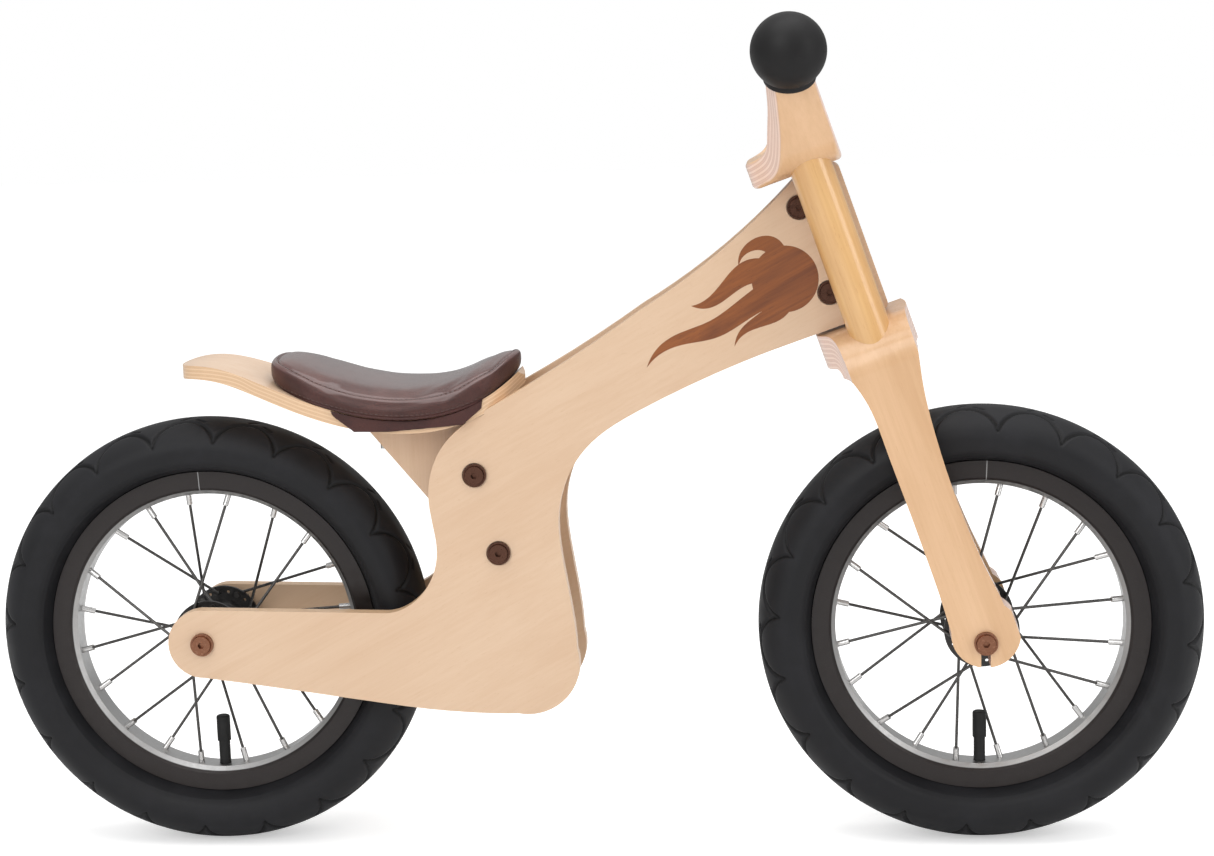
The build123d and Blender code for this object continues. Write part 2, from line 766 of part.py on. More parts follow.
with BuildPart() as spokes:
    for bend, far, hole, flank, outside in spoke_ways:
        start = bend.Y - flank * (5.8 if outside else -5.8)
        with BuildSketch(along(bend, far, 5)):
            Circle(SPOKE_R)
        extrude(amount=-((far - bend).length - 5))
        with BuildSketch(Plane(origin=(hole.X, start, hole.Z), z_dir=(0, bend.Y - start, 0))):
            Circle(SPOKE_R)
        extrude(amount=abs(bend.Y - start))
        with BuildSketch(Plane(origin=(hole.X, start, hole.Z), z_dir=(0, bend.Y - start, 0))):
            Circle(2)
        extrude(amount=1.2)
        with Locations(bend):
            Sphere(SPOKE_R)

with BuildPart() as nipples:
    for bend, far, hole, flank, outside in spoke_ways:
        with BuildSketch(along(bend, far, 16)):
            Circle(2)
        extrude(amount=14.5)
        with BuildSketch(along(bend, far, 2)):
            Circle(2.8)
        extrude(amount=1)
        with BuildSketch(along(bend, far, 16)):
            Circle(SPOKE_R + SNUG)
        extrude(amount=15.4, mode=Mode.SUBTRACT)

BEARING_R = 11.0
BEARING_IN = 24.0
BEARING_OUT = 31.0
with BuildPart() as hub:
    with BuildSketch(wheel_section):
        with BuildLine():
            Polyline(
                (0, 13), (16, 13), (21, 15.5), (21, 25), (23, 25), (23, 15.5), (31.2, 14),
                (31.2, BEARING_R), (BEARING_IN, BEARING_R), (BEARING_IN, 8), (0, 8), (0, 13),
            )
        make_face()
        mirror(about=Plane.YZ)
    revolve(axis=spin_axis)
    with BuildSketch(Plane(origin=wheel_centre, z_dir=(0, -1, 0))):
        with PolarLocations(FLANGE_HOLE_R, 4 * SPOKE_PAIRS, start_angle=9):
            Circle(SPOKE_R + 0.1)
    extrude(amount=30, both=True, mode=Mode.SUBTRACT)

with BuildPart() as bearings:
    with BuildSketch(wheel_section):
        for way in (1, -1):
            with Locations((way * (BEARING_IN + BEARING_OUT) / 2, (BEARING_R + AXLE_R + RUN_FIT) / 2)):
                Rectangle(BEARING_OUT - BEARING_IN, BEARING_R - AXLE_R - RUN_FIT)
            with Locations((way * BEARING_OUT, 7.6)):
                Rectangle(0.8, 3, mode=Mode.SUBTRACT)
    revolve(axis=spin_axis)

STEM_R = 3.9
CAP_R = 4.7
with BuildPart() as valve_stem:
    with BuildSketch(valve_seat):
        Circle(STEM_R)
    extrude(amount=44)

with BuildPart() as valve_cap:
    with BuildSketch(valve_seat.offset(33)):
        Circle(CAP_R)
    extrude(amount=18)
    with BuildSketch(valve_seat.offset(33)):
        Circle(STEM_R + SNUG)
    extrude(amount=11.2, mode=Mode.SUBTRACT)
    fillet(valve_cap.edges().filter_by(GeomType.CIRCLE).sort_by(Axis.Z)[-1], 1.5)


def hub_axle(gap):
    """Hollow axle between the faces that hold it, each side gap from the middle."""
    with BuildPart() as axle:
        with BuildSketch(Plane(origin=wheel_centre, z_dir=(0, -1, 0))):
            Circle(AXLE_R)
            Circle(BOLT_R + SNUG, mode=Mode.SUBTRACT)
        extrude(amount=gap, both=True)
    return axle


def axle_spacers(gap):
    """Sleeves from the bearings' inner rings to the frame or fork."""
    with BuildPart() as sleeves:
        for way in (1, -1):
            with BuildSketch(Plane(origin=wheel_centre + Vector(0, way * (BEARING_OUT + 0.4), 0), z_dir=(0, way, 0))):
                Circle(6)
                Circle(AXLE_R + SNUG, mode=Mode.SUBTRACT)
            extrude(amount=gap - BEARING_OUT - 0.4)
    return sleeves


rear_axle = hub_axle(REAR_GAP)
rear_axle_spacers = axle_spacers(REAR_GAP)


def moved_forward(piece):
    """The same piece on the front wheel's axle."""
    with BuildPart() as copy:
        with Locations((WHEELBASE, 0, 0)):
            add(piece.part)
    return copy


front_axle = moved_forward(hub_axle(FORK_GAP))
front_axle_spacers = moved_forward(axle_spacers(FORK_GAP))

# ---------------------------------------------------------------- files
frame_pieces = {
    "frame_plate_right": frame_plate_right,
    "frame_plate_left": frame_plate_left,
    "inlay_right": inlay_right,
    "inlay_left": inlay_left,
    "head_core": head_core,
    "head_core_bolts": head_core_bolts,
    "head_core_nuts": head_core_nuts,
    "upper_bush": upper_bush,
    "lower_bush": lower_bush,
    "seat_post_core": seat_post_core,
    "seat_post_cheek_right": seat_post_cheek_right,
    "seat_post_cheek_left": seat_post_cheek_left,
    "seat_post_spacers": seat_post_spacers,
    "seat_post_bolts": seat_post_bolts,
    "seat_post_nuts": seat_post_nuts,
    "seat_board": seat_board,
    "seat_screws": seat_screws,
    "seat_pad": seat_pad,
    "seat_flap_right": seat_flap_right,
    "seat_flap_left": seat_flap_left,
    "rear_axle": rear_axle,
    "rear_axle_spacers": rear_axle_spacers,
    "rear_axle_bolts": rear_axle_bolts,
}
steering_pieces = {
    "fork": fork,
    "handlebar": handlebar,
    "post_right": post_right,
    "post_left": post_left,
    "post_dowels": post_dowels,
    "steering_bolt": steering_bolt,
    "steering_washers": steering_washers,
    "steering_nut": steering_nut,
    "grip_right": grip_right,
    "grip_left": grip_left,
    "front_axle": front_axle,
    "front_axle_spacers": front_axle_spacers,
    "front_axle_bolts": front_axle_bolts,
}
wheel_pieces = {
    "tyre": tyre,
    "inner_tube": inner_tube,
    "rim": rim,
    "rim_tape": rim_tape,
    "spokes": spokes,
    "spoke_nipples": nipples,
    "hub": hub,
    "hub_bearings": bearings,
    "valve_stem": valve_stem,
    "valve_cap": valve_cap,
}

for name, piece in {**frame_pieces, **steering_pieces}.items():
    finish(piece, name)
for name, piece in wheel_pieces.items():
    finish(moved_forward(piece), f"front_{name}")
    finish(piece, f"rear_{name}")
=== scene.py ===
"""Looks of a wooden balance bike: lacquered birch, walnut flames, leather saddle, air tyres."""

import json
import math

import bmesh
import bpy
import numpy as np
from mathutils import Matrix, Quaternion, Vector
from mathutils.bvhtree import BVHTree


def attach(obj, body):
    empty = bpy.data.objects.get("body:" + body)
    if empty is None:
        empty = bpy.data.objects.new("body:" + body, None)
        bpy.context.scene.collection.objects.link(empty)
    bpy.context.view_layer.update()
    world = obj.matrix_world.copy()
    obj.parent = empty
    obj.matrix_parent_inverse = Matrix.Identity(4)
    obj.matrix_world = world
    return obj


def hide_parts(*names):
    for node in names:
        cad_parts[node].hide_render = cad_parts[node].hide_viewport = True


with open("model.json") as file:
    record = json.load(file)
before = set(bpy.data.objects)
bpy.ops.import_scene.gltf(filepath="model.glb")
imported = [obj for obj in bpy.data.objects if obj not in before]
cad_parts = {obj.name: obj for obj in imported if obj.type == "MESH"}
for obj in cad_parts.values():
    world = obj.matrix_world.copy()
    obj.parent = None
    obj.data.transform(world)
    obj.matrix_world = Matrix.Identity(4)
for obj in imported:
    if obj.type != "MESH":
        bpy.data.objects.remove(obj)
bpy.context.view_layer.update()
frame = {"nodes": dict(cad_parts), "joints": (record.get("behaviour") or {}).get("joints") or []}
scene = bpy.context.scene
cad = frame["nodes"]
MM = 0.001
REAR_X = -0.262
AXLE_Z = 0.149
TILT = math.radians(19)
STEER_FORWARD = (math.cos(TILT), 0, math.sin(TILT))
STEER_UP = (-math.sin(TILT), 0, math.cos(TILT))
HEAD = Vector(next(j for j in frame["joints"] if j["name"] == "steering_turn")["pos_m"])


# ---------------------------------------------------------------- shader helpers
def put(tree, kind, wires=(), **settings):
    """A node with its settings, and its inputs linked or set by name or number."""
    node = tree.nodes.new(kind)
    for key, value in settings.items():
        setattr(node, key, value)
    for key, value in dict(wires).items():
        if isinstance(value, bpy.types.NodeSocket):
            tree.links.new(value, node.inputs[key])
        else:
            node.inputs[key].default_value = value
    return node


def calc(tree, operation, *values, clamp=False):
    return put(tree, "ShaderNodeMath", enumerate(values), operation=operation, use_clamp=clamp).outputs[0]


def vec(tree, operation, *values):
    node = put(tree, "ShaderNodeVectorMath", enumerate(values), operation=operation)
    return node.outputs["Value" if operation in ("DOT_PRODUCT", "LENGTH") else "Vector"]


def mix(tree, factor, a, b, blend="MIX"):
    wires = {0: factor, 6: a, 7: b}
    return put(tree, "ShaderNodeMix", wires, data_type="RGBA", blend_type=blend).outputs[2]


def ramp(tree, value, low, high, start=0.0, end=1.0):
    """Value eased from start to end as it goes from low to high."""
    wires = {0: value, 1: low, 2: high, 3: start, 4: end}
    return put(tree, "ShaderNodeMapRange", wires, interpolation_type="SMOOTHSTEP").outputs[0]


def noise(tree, vector, scale=1.0, detail=4.0, rough=0.55, distortion=0.0):
    wires = {"Vector": vector, "Scale": scale, "Detail": detail, "Roughness": rough, "Distortion": distortion}
    return put(tree, "ShaderNodeTexNoise", wires).outputs["Fac"]


def new_group(name, inputs, outputs):
    tree = bpy.data.node_groups.new(name, "ShaderNodeTree")
    kinds = {"v": "NodeSocketVector", "c": "NodeSocketColor", "f": "NodeSocketFloat"}
    for label, kind, value in inputs:
        socket = tree.interface.new_socket(label, in_out="INPUT", socket_type=kinds[kind])
        if value is not None:
            socket.default_value = value
    for label, kind in outputs:
        tree.interface.new_socket(label, in_out="OUTPUT", socket_type=kinds[kind])
    give = tree.nodes.new("NodeGroupInput").outputs
    take = tree.nodes.new("NodeGroupOutput").inputs
    return tree, give, take


def use(tree, group, **wires):
    node = tree.nodes.new("ShaderNodeGroup")
    node.node_tree = group
    for key, value in wires.items():
        if isinstance(value, bpy.types.NodeSocket):
            tree.links.new(value, node.inputs[key])
        else:
            node.inputs[key].default_value = value
    return node.outputs


def new_material(name, **shader):
    """A material with its Principled BSDF, and the surface's object coordinates and normal."""
    material = bpy.data.materials.new(name)
    material.use_nodes = True
    tree = material.node_tree
    skin = tree.nodes["Principled BSDF"]
    for key, value in shader.items():
        skin.inputs[key.replace("_", " ")].default_value = value
    where = put(tree, "ShaderNodeTexCoord")
    return material, tree, skin, where.outputs["Object"], where.outputs["Normal"]


def relief(tree, skin, height, depth, strength=1.0, below=None):
    wires = {"Height": height, "Distance": depth, "Strength": strength}
    if below is not None:
        wires["Normal"] = below
    bump = put(tree, "ShaderNodeBump", wires)
    tree.links.new(bump.outputs[0], skin.inputs["Normal"])
    return bump.outputs[0]


# ---------------------------------------------------------------- shared effects
def make_grain():
    """Lacquered wood: fibres along X of the vector, broad figure and short flecks."""
    tree, give, take = new_group(
        "wood_grain",
        [("Vector", "v", None), ("Light", "c", None), ("Dark", "c", None), ("Streaks", "f", 0.5),
         ("Flecks", "f", 0.3)],
        [("Color", "c"), ("Height", "f"), ("Gloss", "f")],
    )
    fibre = noise(tree, vec(tree, "MULTIPLY", give["Vector"], (16, 420, 420)), detail=5, rough=0.62)
    figure = noise(tree, vec(tree, "MULTIPLY", give["Vector"], (3.2, 34, 34)), detail=3, distortion=0.8)
    cloud = noise(tree, vec(tree, "MULTIPLY", give["Vector"], (9, 9, 9)), detail=2)
    speck = noise(tree, vec(tree, "MULTIPLY", give["Vector"], (150, 1700, 1700)), detail=2)
    fleck = calc(tree, "MULTIPLY", ramp(tree, speck, 0.63, 0.74), give["Flecks"])
    tone = calc(tree, "ADD", calc(tree, "MULTIPLY", fibre, 0.45), calc(tree, "MULTIPLY", figure, 0.75))
    tone = calc(tree, "MULTIPLY", ramp(tree, tone, 0.35, 0.85), give["Streaks"])
    tone = calc(tree, "ADD", tone, calc(tree, "MULTIPLY", ramp(tree, cloud, 0.3, 0.75), 0.22), clamp=True)
    colour = mix(tree, tone, give["Light"], give["Dark"])
    colour = mix(tree, calc(tree, "MULTIPLY", fleck, 0.5), colour, give["Dark"], "MULTIPLY")
    tree.links.new(colour, take["Color"])
    tree.links.new(calc(tree, "SUBTRACT", fibre, fleck), take["Height"])
    tree.links.new(ramp(tree, fibre, 0.3, 0.75, 0.30, 0.44), take["Gloss"])
    return tree


def make_plies():
    """Edge of plywood: plies in turn along and across the grain, with dark glue lines."""
    tree, give, take = new_group(
        "ply_edge",
        [("Vector", "v", None), ("Depth", "f", 0.0), ("Ply", "f", 1.4), ("Pale", "c", None),
         ("End", "c", None)],
        [("Color", "c"), ("Height", "f")],
    )
    wander = calc(tree, "MULTIPLY", noise(tree, give["Vector"], 60, 2), 0.25)
    turn = calc(tree, "DIVIDE", calc(tree, "ADD", give["Depth"], wander), give["Ply"])
    part = calc(tree, "FRACT", turn)
    other = calc(tree, "FRACT", calc(tree, "MULTIPLY", calc(tree, "FLOOR", turn), 0.5))
    gap = calc(tree, "MINIMUM", part, calc(tree, "SUBTRACT", 1.0, part))
    line = ramp(tree, gap, 0.02, 0.13, 1.0, 0.0)
    pores = noise(tree, give["Vector"], 2600, 2)
    end = mix(tree, ramp(tree, pores, 0.4, 0.65, 0.0, 0.5), give["End"], give["Pale"])
    colour = mix(tree, ramp(tree, other, 0.2, 0.3), give["Pale"], end)
    colour = mix(tree, calc(tree, "MULTIPLY", line, 0.4), colour, (0.40, 0.22, 0.14, 1))
    tree.links.new(colour, take["Color"])
    tree.links.new(calc(tree, "SUBTRACT", calc(tree, "MULTIPLY", pores, 0.3), line), take["Height"])
    return tree


def make_aging():
    """Plated or coated metal: cloudy tone, fine scuffs and fingerprints."""
    tree, give, take = new_group(
        "aged_metal",
        [("Vector", "v", None), ("Base", "c", None), ("Worn", "c", None), ("Wear", "f", 0.3)],
        [("Color", "c"), ("Rough", "f"), ("Height", "f")],
    )
    cloud = noise(tree, give["Vector"], 300, 4)
    scuff = noise(tree, vec(tree, "MULTIPLY", give["Vector"], (700, 2600, 700)), detail=4, rough=0.7)
    worn = calc(tree, "MULTIPLY", ramp(tree, scuff, 0.52, 0.72), give["Wear"])
    worn = calc(tree, "ADD", worn, calc(tree, "MULTIPLY", cloud, 0.25), clamp=True)
    tree.links.new(mix(tree, worn, give["Base"], give["Worn"]), take["Color"])
    tree.links.new(ramp(tree, cloud, 0.3, 0.7, 0.24, 0.42), take["Rough"])
    tree.links.new(scuff, take["Height"])
    return tree


def make_hide():
    """Leather: rounded pebbles parted by creases, and a slow change of tone."""
    tree, give, take = new_group(
        "hide",
        [("Vector", "v", None), ("Pebbles", "f", 1800.0), ("Depth", "f", 1.0)],
        [("Height", "f"), ("Crease", "f"), ("Tone", "f")],
    )
    wires = {"Vector": give["Vector"], "Scale": give["Pebbles"], "Randomness": 0.9}
    cells = put(tree, "ShaderNodeTexVoronoi", wires, feature="DISTANCE_TO_EDGE")
    crease = ramp(tree, cells.outputs["Distance"], 0.0, 0.22, 1.0, 0.0)
    fine = noise(tree, give["Vector"], 3800, 3)
    height = calc(tree, "SUBTRACT", calc(tree, "MULTIPLY", fine, 0.25), crease)
    tree.links.new(calc(tree, "MULTIPLY", height, give["Depth"]), take["Height"])
    # the Crease output also serves as the mask where the leather materials paint shade into the creases
    tree.links.new(crease, take["Crease"])
    tree.links.new(noise(tree, give["Vector"], 55, 4), take["Tone"])
    return tree


def make_rubber():
    """Moulded rubber: fine skin, chalky bloom in patches and a little dust."""
    tree, give, take = new_group(
        "rubber_skin",
        [("Vector", "v", None), ("Base", "c", None), ("Bloom", "c", None), ("Dust", "f", 0.3)],
        [("Color", "c"), ("Rough", "f"), ("Height", "f")],
    )
    skin = noise(tree, give["Vector"], 2200, 3)
    patch = noise(tree, give["Vector"], 26, 5, 0.65)
    grit = noise(tree, give["Vector"], 900, 3, 0.7)
    bloom = calc(tree, "MULTIPLY", ramp(tree, patch, 0.42, 0.75), 0.6)
    dust = calc(tree, "MULTIPLY", ramp(tree, grit, 0.60, 0.78), give["Dust"])
    pale = calc(tree, "ADD", bloom, dust, clamp=True)
    tree.links.new(mix(tree, pale, give["Base"], give["Bloom"]), take["Color"])
    tree.links.new(ramp(tree, patch, 0.3, 0.75, 0.48, 0.66), take["Rough"])
    tree.links.new(skin, take["Height"])
    return tree


GRAIN, PLIES, AGING, HIDE, RUBBER = [make() for make in (make_grain, make_plies, make_aging, make_hide,
                                                        make_rubber)]
BIRCH_LIGHT = (0.67, 0.485, 0.335, 1)
BIRCH_DARK = (0.56, 0.36, 0.22, 1)
PLY_PALE = (0.72, 0.50, 0.31, 1)
PLY_END = (0.62, 0.40, 0.235, 1)
ROSY_PALE = (0.84, 0.62, 0.51, 1)
ROSY_END = (0.70, 0.46, 0.36, 1)


# ---------------------------------------------------------------- wood
def steering_axes(tree, where):
    """Distances ahead of and along the steering axis, in metres."""
    rel = vec(tree, "SUBTRACT", where, tuple(HEAD))
    return vec(tree, "DOT_PRODUCT", rel, STEER_FORWARD), vec(tree, "DOT_PRODUCT", rel, STEER_UP)


def split_xyz(tree, vector):
    return put(tree, "ShaderNodeSeparateXYZ", {0: vector}).outputs


def join_xyz(tree, x, y, z):
    return put(tree, "ShaderNodeCombineXYZ", {0: x, 1: y, 2: z}).outputs[0]


def ply_wood(name, grain_vector, depth, edge, ply=1.3, light=BIRCH_LIGHT, dark=BIRCH_DARK, streaks=0.5,
             coat=0.35, pale=PLY_PALE, end=PLY_END):
    """Plywood whose faces show grain and whose edges show plies.

    grain_vector, depth and edge are functions of the tree, the place and the normal.
    """
    material, tree, skin, where, normal = new_material(name, Coat_Roughness=0.12, Coat_Weight=coat)
    face = use(tree, GRAIN, Vector=grain_vector(tree, where), Light=light, Dark=dark, Streaks=streaks)
    side = use(tree, PLIES, Vector=where, Depth=depth(tree, where), Ply=ply, Pale=pale, End=end)
    mask = edge(tree, where, normal)
    tree.links.new(mix(tree, mask, face["Color"], side["Color"]), skin.inputs["Base Color"])
    rough = calc(tree, "ADD", face["Gloss"], calc(tree, "MULTIPLY", mask, 0.12))
    tree.links.new(rough, skin.inputs["Roughness"])
    height = put(tree, "ShaderNodeMix", {0: mask, 2: face["Height"], 3: side["Height"]}).outputs[0]
    relief(tree, skin, height, 0.00006, 0.5)
    return material


def edge_by(component, low=0.55, high=0.8):
    """Mask that is 1 where the normal leans away from the board's flat faces."""
    def mask(tree, where, normal):
        return ramp(tree, calc(tree, "ABSOLUTE", split_xyz(tree, normal)[component]), low, high, 1.0, 0.0)
    return mask


def plate_depth(tree, where):
    x, y = split_xyz(tree, where)[0:2]
    inner = put(tree, "ShaderNodeMapRange", {0: x, 1: -0.112, 2: 0.121, 3: 34.0, 4: 7.0}).outputs[0]
    return calc(tree, "SUBTRACT", calc(tree, "MULTIPLY", calc(tree, "ABSOLUTE", y), 1000.0), inner)


def along_frame(tree, where):
    turned = put(tree, "ShaderNodeVectorRotate", {"Vector": where, "Angle": math.radians(28)},
                 rotation_type="Y_AXIS")
    return turned.outputs[0]


def across_depth(tree, where):
    return calc(tree, "MULTIPLY", split_xyz(tree, where)[1], 1000.0)


def upright(tree, where):
    x, y, z = split_xyz(tree, where)
    return join_xyz(tree, z, x, y)


SEAT_LINE = [(-11, 331.5), (18, 331), (48, 321), (85, 307.5), (115, 299.5), (146, 296.5), (176, 300),
             (202, 310.5), (221, 324)]


def seat_depth(tree, where):
    """Height above the middle of the bent seat board, in millimetres."""
    x, y, z = split_xyz(tree, where)
    run = put(tree, "ShaderNodeMapRange", {0: x, 1: -0.273, 2: -0.041}).outputs[0]
    bend = put(tree, "ShaderNodeFloatCurve", {1: run})
    curve = bend.mapping.curves[0]
    points = [((a + 11) / 232, (h - 290) / 50) for a, h in SEAT_LINE]
    while len(curve.points) < len(points):
        curve.points.new(0.5, 0.5)
    for point, place in zip(curve.points, points):
        point.location = place
    bend.mapping.update()
    middle = calc(tree, "MULTIPLY_ADD", bend.outputs[0], 50.0, 290.0)
    return calc(tree, "SUBTRACT", calc(tree, "MULTIPLY", z, 1000.0), middle)


def bent_depth(bend_y, bend_w, way):
    """Depth through a bent laminate from the centre of its bend, in millimetres."""
    def depth(tree, where):
        u, w = steering_axes(tree, where)
        out = calc(tree, "SUBTRACT", calc(tree, "ABSOLUTE", split_xyz(tree, where)[1]), bend_y * MM)
        up = calc(tree, "MULTIPLY", calc(tree, "SUBTRACT", w, bend_w * MM), way)
        out = calc(tree, "MAXIMUM", out, 0.0)
        up = calc(tree, "MAXIMUM", up, 0.0)
        return calc(tree, "MULTIPLY", vec(tree, "LENGTH", join_xyz(tree, out, up, 0.0)), 1000.0)
    return depth


def arm_depth(tree, where):
    """Depth through the handlebar: flat in the middle, round the bend, then up the arm."""
    rise = math.radians(52)
    u, w = steering_axes(tree, where)
    out = calc(tree, "SUBTRACT", calc(tree, "ABSOLUTE", split_xyz(tree, where)[1]), 26 * MM)
    up = calc(tree, "SUBTRACT", w, 148.5 * MM)
    point = join_xyz(tree, out, up, 0.0)
    run = vec(tree, "DOT_PRODUCT", point, (math.cos(rise), math.sin(rise), 0))
    arm = vec(tree, "DOT_PRODUCT", point, (math.sin(rise), -math.cos(rise), 0))
    bend = vec(tree, "LENGTH", join_xyz(tree, calc(tree, "MAXIMUM", out, 0.0), up, 0.0))
    past = calc(tree, "GREATER_THAN", run, 0.0)
    both = put(tree, "ShaderNodeMix", {0: past, 2: bend, 3: arm}).outputs[0]
    return calc(tree, "MULTIPLY", both, 1000.0)


def laminate_edge(tree, where, normal):
    lean = calc(tree, "ABSOLUTE", vec(tree, "DOT_PRODUCT", normal, STEER_FORWARD))
    return ramp(tree, lean, 0.5, 0.75)


def down_legs(tree, where):
    u, w = steering_axes(tree, where)
    return join_xyz(tree, w, u, split_xyz(tree, where)[1])


def along_bar(tree, where):
    u, w = steering_axes(tree, where)
    run = calc(tree, "ADD", calc(tree, "ABSOLUTE", split_xyz(tree, where)[1]), calc(tree, "MULTIPLY", w, 0.8))
    return join_xyz(tree, run, u, calc(tree, "MULTIPLY", w, 0.3))


plate_wood = ply_wood("plate_birch", along_frame, plate_depth, edge_by(1), 1.29)
post_wood = ply_wood("seat_post_birch", upright, across_depth, edge_by(1), 1.86, streaks=0.7)
board_wood = ply_wood("seat_board_birch", lambda t, w: w, seat_depth, edge_by(2, 0.35, 0.6), 1.29,
                      light=(0.77, 0.57, 0.41, 1), dark=(0.66, 0.44, 0.28, 1))
fork_wood = ply_wood("fork_laminate", down_legs, bent_depth(27, -31, 1), laminate_edge, 1.64,
                     light=(0.70, 0.45, 0.26, 1), dark=(0.54, 0.31, 0.15, 1), streaks=0.6, coat=0.5,
                     pale=ROSY_PALE, end=ROSY_END)
bar_wood = ply_wood("handlebar_laminate", along_bar, arm_depth, laminate_edge, 1.64,
                    light=(0.78, 0.50, 0.29, 1), dark=(0.62, 0.37, 0.19, 1), streaks=0.6, coat=0.5,
                    pale=ROSY_PALE, end=ROSY_END)


def solid_wood(name, vector, light, dark, streaks, coat, flecks=0.3):
    material, tree, skin, where, normal = new_material(name, Coat_Roughness=0.08, Coat_Weight=coat)
    grain = use(tree, GRAIN, Vector=vector(tree, where), Light=light, Dark=dark, Streaks=streaks,
                Flecks=flecks)
    tree.links.new(grain["Color"], skin.inputs["Base Color"])
    tree.links.new(grain["Gloss"], skin.inputs["Roughness"])
    relief(tree, skin, grain["Height"], 0.00006, 0.5)
    return material


beech = solid_wood("beech_gloss", down_legs, (0.74, 0.46, 0.20, 1), (0.56, 0.29, 0.095, 1), 0.75, 0.8, 0.6)
walnut = solid_wood("walnut_inlay", along_frame, (0.31, 0.095, 0.019, 1), (0.13, 0.033, 0.007, 1),
                    1.0, 0.12, 0.8)


# ---------------------------------------------------------------- metal, rubber, plastic
def metal(name, base, worn, wear=0.3, metallic=1.0, rough=None):
    material, tree, skin, where, normal = new_material(name, Metallic=metallic)
    aged = use(tree, AGING, Vector=where, Base=base, Worn=worn, Wear=wear)
    tree.links.new(aged["Color"], skin.inputs["Base Color"])
    if rough is None:
        tree.links.new(aged["Rough"], skin.inputs["Roughness"])
    else:
        tree.links.new(calc(tree, "ADD", aged["Rough"], rough), skin.inputs["Roughness"])
    relief(tree, skin, aged["Height"], 0.00002, 0.3)
    return material


def rubber(name, base, bloom, dust=0.3, grooves=False):
    material, tree, skin, where, normal = new_material(name, Specular_IOR_Level=0.25)
    look = use(tree, RUBBER, Vector=where, Base=base, Bloom=bloom, Dust=dust)
    colour = look["Color"]
    # painted shade: inside the tyre's grooves the colour is drawn to near black, as shade that falls in them
    if grooves:
        cut = put(tree, "ShaderNodeAttribute", attribute_name="groove").outputs["Fac"]
        colour = mix(tree, cut, colour, (0.0035, 0.0035, 0.0035, 1))
    tree.links.new(colour, skin.inputs["Base Color"])
    tree.links.new(look["Rough"], skin.inputs["Roughness"])
    relief(tree, skin, look["Height"], 0.00003, 0.5)
    return material


bronze = metal("bronzed_bolts", (0.085, 0.040, 0.028, 1), (0.19, 0.10, 0.07, 1), 0.25)
copper = metal("coppery_bolts", (0.20, 0.085, 0.050, 1), (0.42, 0.23, 0.15, 1), 0.5)
zinc = metal("zinc_plate", (0.50, 0.50, 0.49, 1), (0.70, 0.69, 0.66, 1), 0.3)
nickel = metal("nickel_plate", (0.62, 0.61, 0.60, 1), (0.78, 0.78, 0.77, 1), 0.2)
black_wire = metal("coated_wire", (0.05, 0.048, 0.046, 1), (0.25, 0.24, 0.23, 1), 0.35, 0.7)
black_hub = metal("black_hub", (0.022, 0.021, 0.021, 1), (0.12, 0.115, 0.11, 1), 0.25, 0.6, 0.05)
nylon = rubber("white_nylon", (0.66, 0.65, 0.61, 1), (0.74, 0.73, 0.70, 1), 0.1)
grip_rubber = rubber("grip_rubber", (0.008, 0.0075, 0.0078, 1), (0.016, 0.015, 0.016, 1), 0.1)
tube_rubber = rubber("tube_rubber", (0.012, 0.012, 0.012, 1), (0.03, 0.03, 0.03, 1), 0.2)
# the tyre's rubber paints shade into its grooves
tyre_rubber = rubber("tyre_rubber", (0.0085, 0.0085, 0.010, 1), (0.019, 0.019, 0.022, 1), 0.15, grooves=True)
cap_plastic = rubber("cap_plastic", (0.010, 0.010, 0.010, 1), (0.03, 0.03, 0.03, 1), 0.1)


def rim_finish():
    """Black-brown side walls, a bare silver bed towards the hub and the joint at the top."""
    material, tree, skin, where, normal = new_material("anodised_rim")
    x, y, z = split_xyz(tree, where)
    across = calc(tree, "SUBTRACT", calc(tree, "ABSOLUTE", x), -REAR_X)
    up = calc(tree, "SUBTRACT", z, AXLE_Z)
    radius = vec(tree, "LENGTH", join_xyz(tree, across, up, 0.0))
    bed = ramp(tree, radius, 0.0994, 0.1000, 1.0, 0.0)
    dark = use(tree, AGING, Vector=where, Base=(0.014, 0.010, 0.0095, 1), Worn=(0.035, 0.027, 0.025, 1),
               Wear=0.2)
    bare = use(tree, AGING, Vector=where, Base=(0.45, 0.45, 0.45, 1), Worn=(0.62, 0.62, 0.61, 1), Wear=0.4)
    off = calc(tree, "SUBTRACT", across, calc(tree, "MULTIPLY", up, 0.04))
    joint = ramp(tree, calc(tree, "ABSOLUTE", off), 0.00015, 0.00045, 1.0, 0.0)
    joint = calc(tree, "MULTIPLY", joint, calc(tree, "GREATER_THAN", up, 0.0))
    colour = mix(tree, bed, dark["Color"], bare["Color"])
    colour = mix(tree, calc(tree, "MULTIPLY", joint, 0.6), colour, (0.5, 0.5, 0.5, 1))
    tree.links.new(colour, skin.inputs["Base Color"])
    tree.links.new(ramp(tree, bed, 0.0, 1.0, 0.25, 1.0), skin.inputs["Metallic"])
    tree.links.new(calc(tree, "ADD", dark["Rough"], 0.06), skin.inputs["Roughness"])
    turned = calc(tree, "SINE", calc(tree, "MULTIPLY", radius, 9000.0))
    height = calc(tree, "SUBTRACT", calc(tree, "MULTIPLY", turned, 0.3), joint)
    relief(tree, skin, height, 0.00006, 0.5)
    return material


rim_metal = rim_finish()

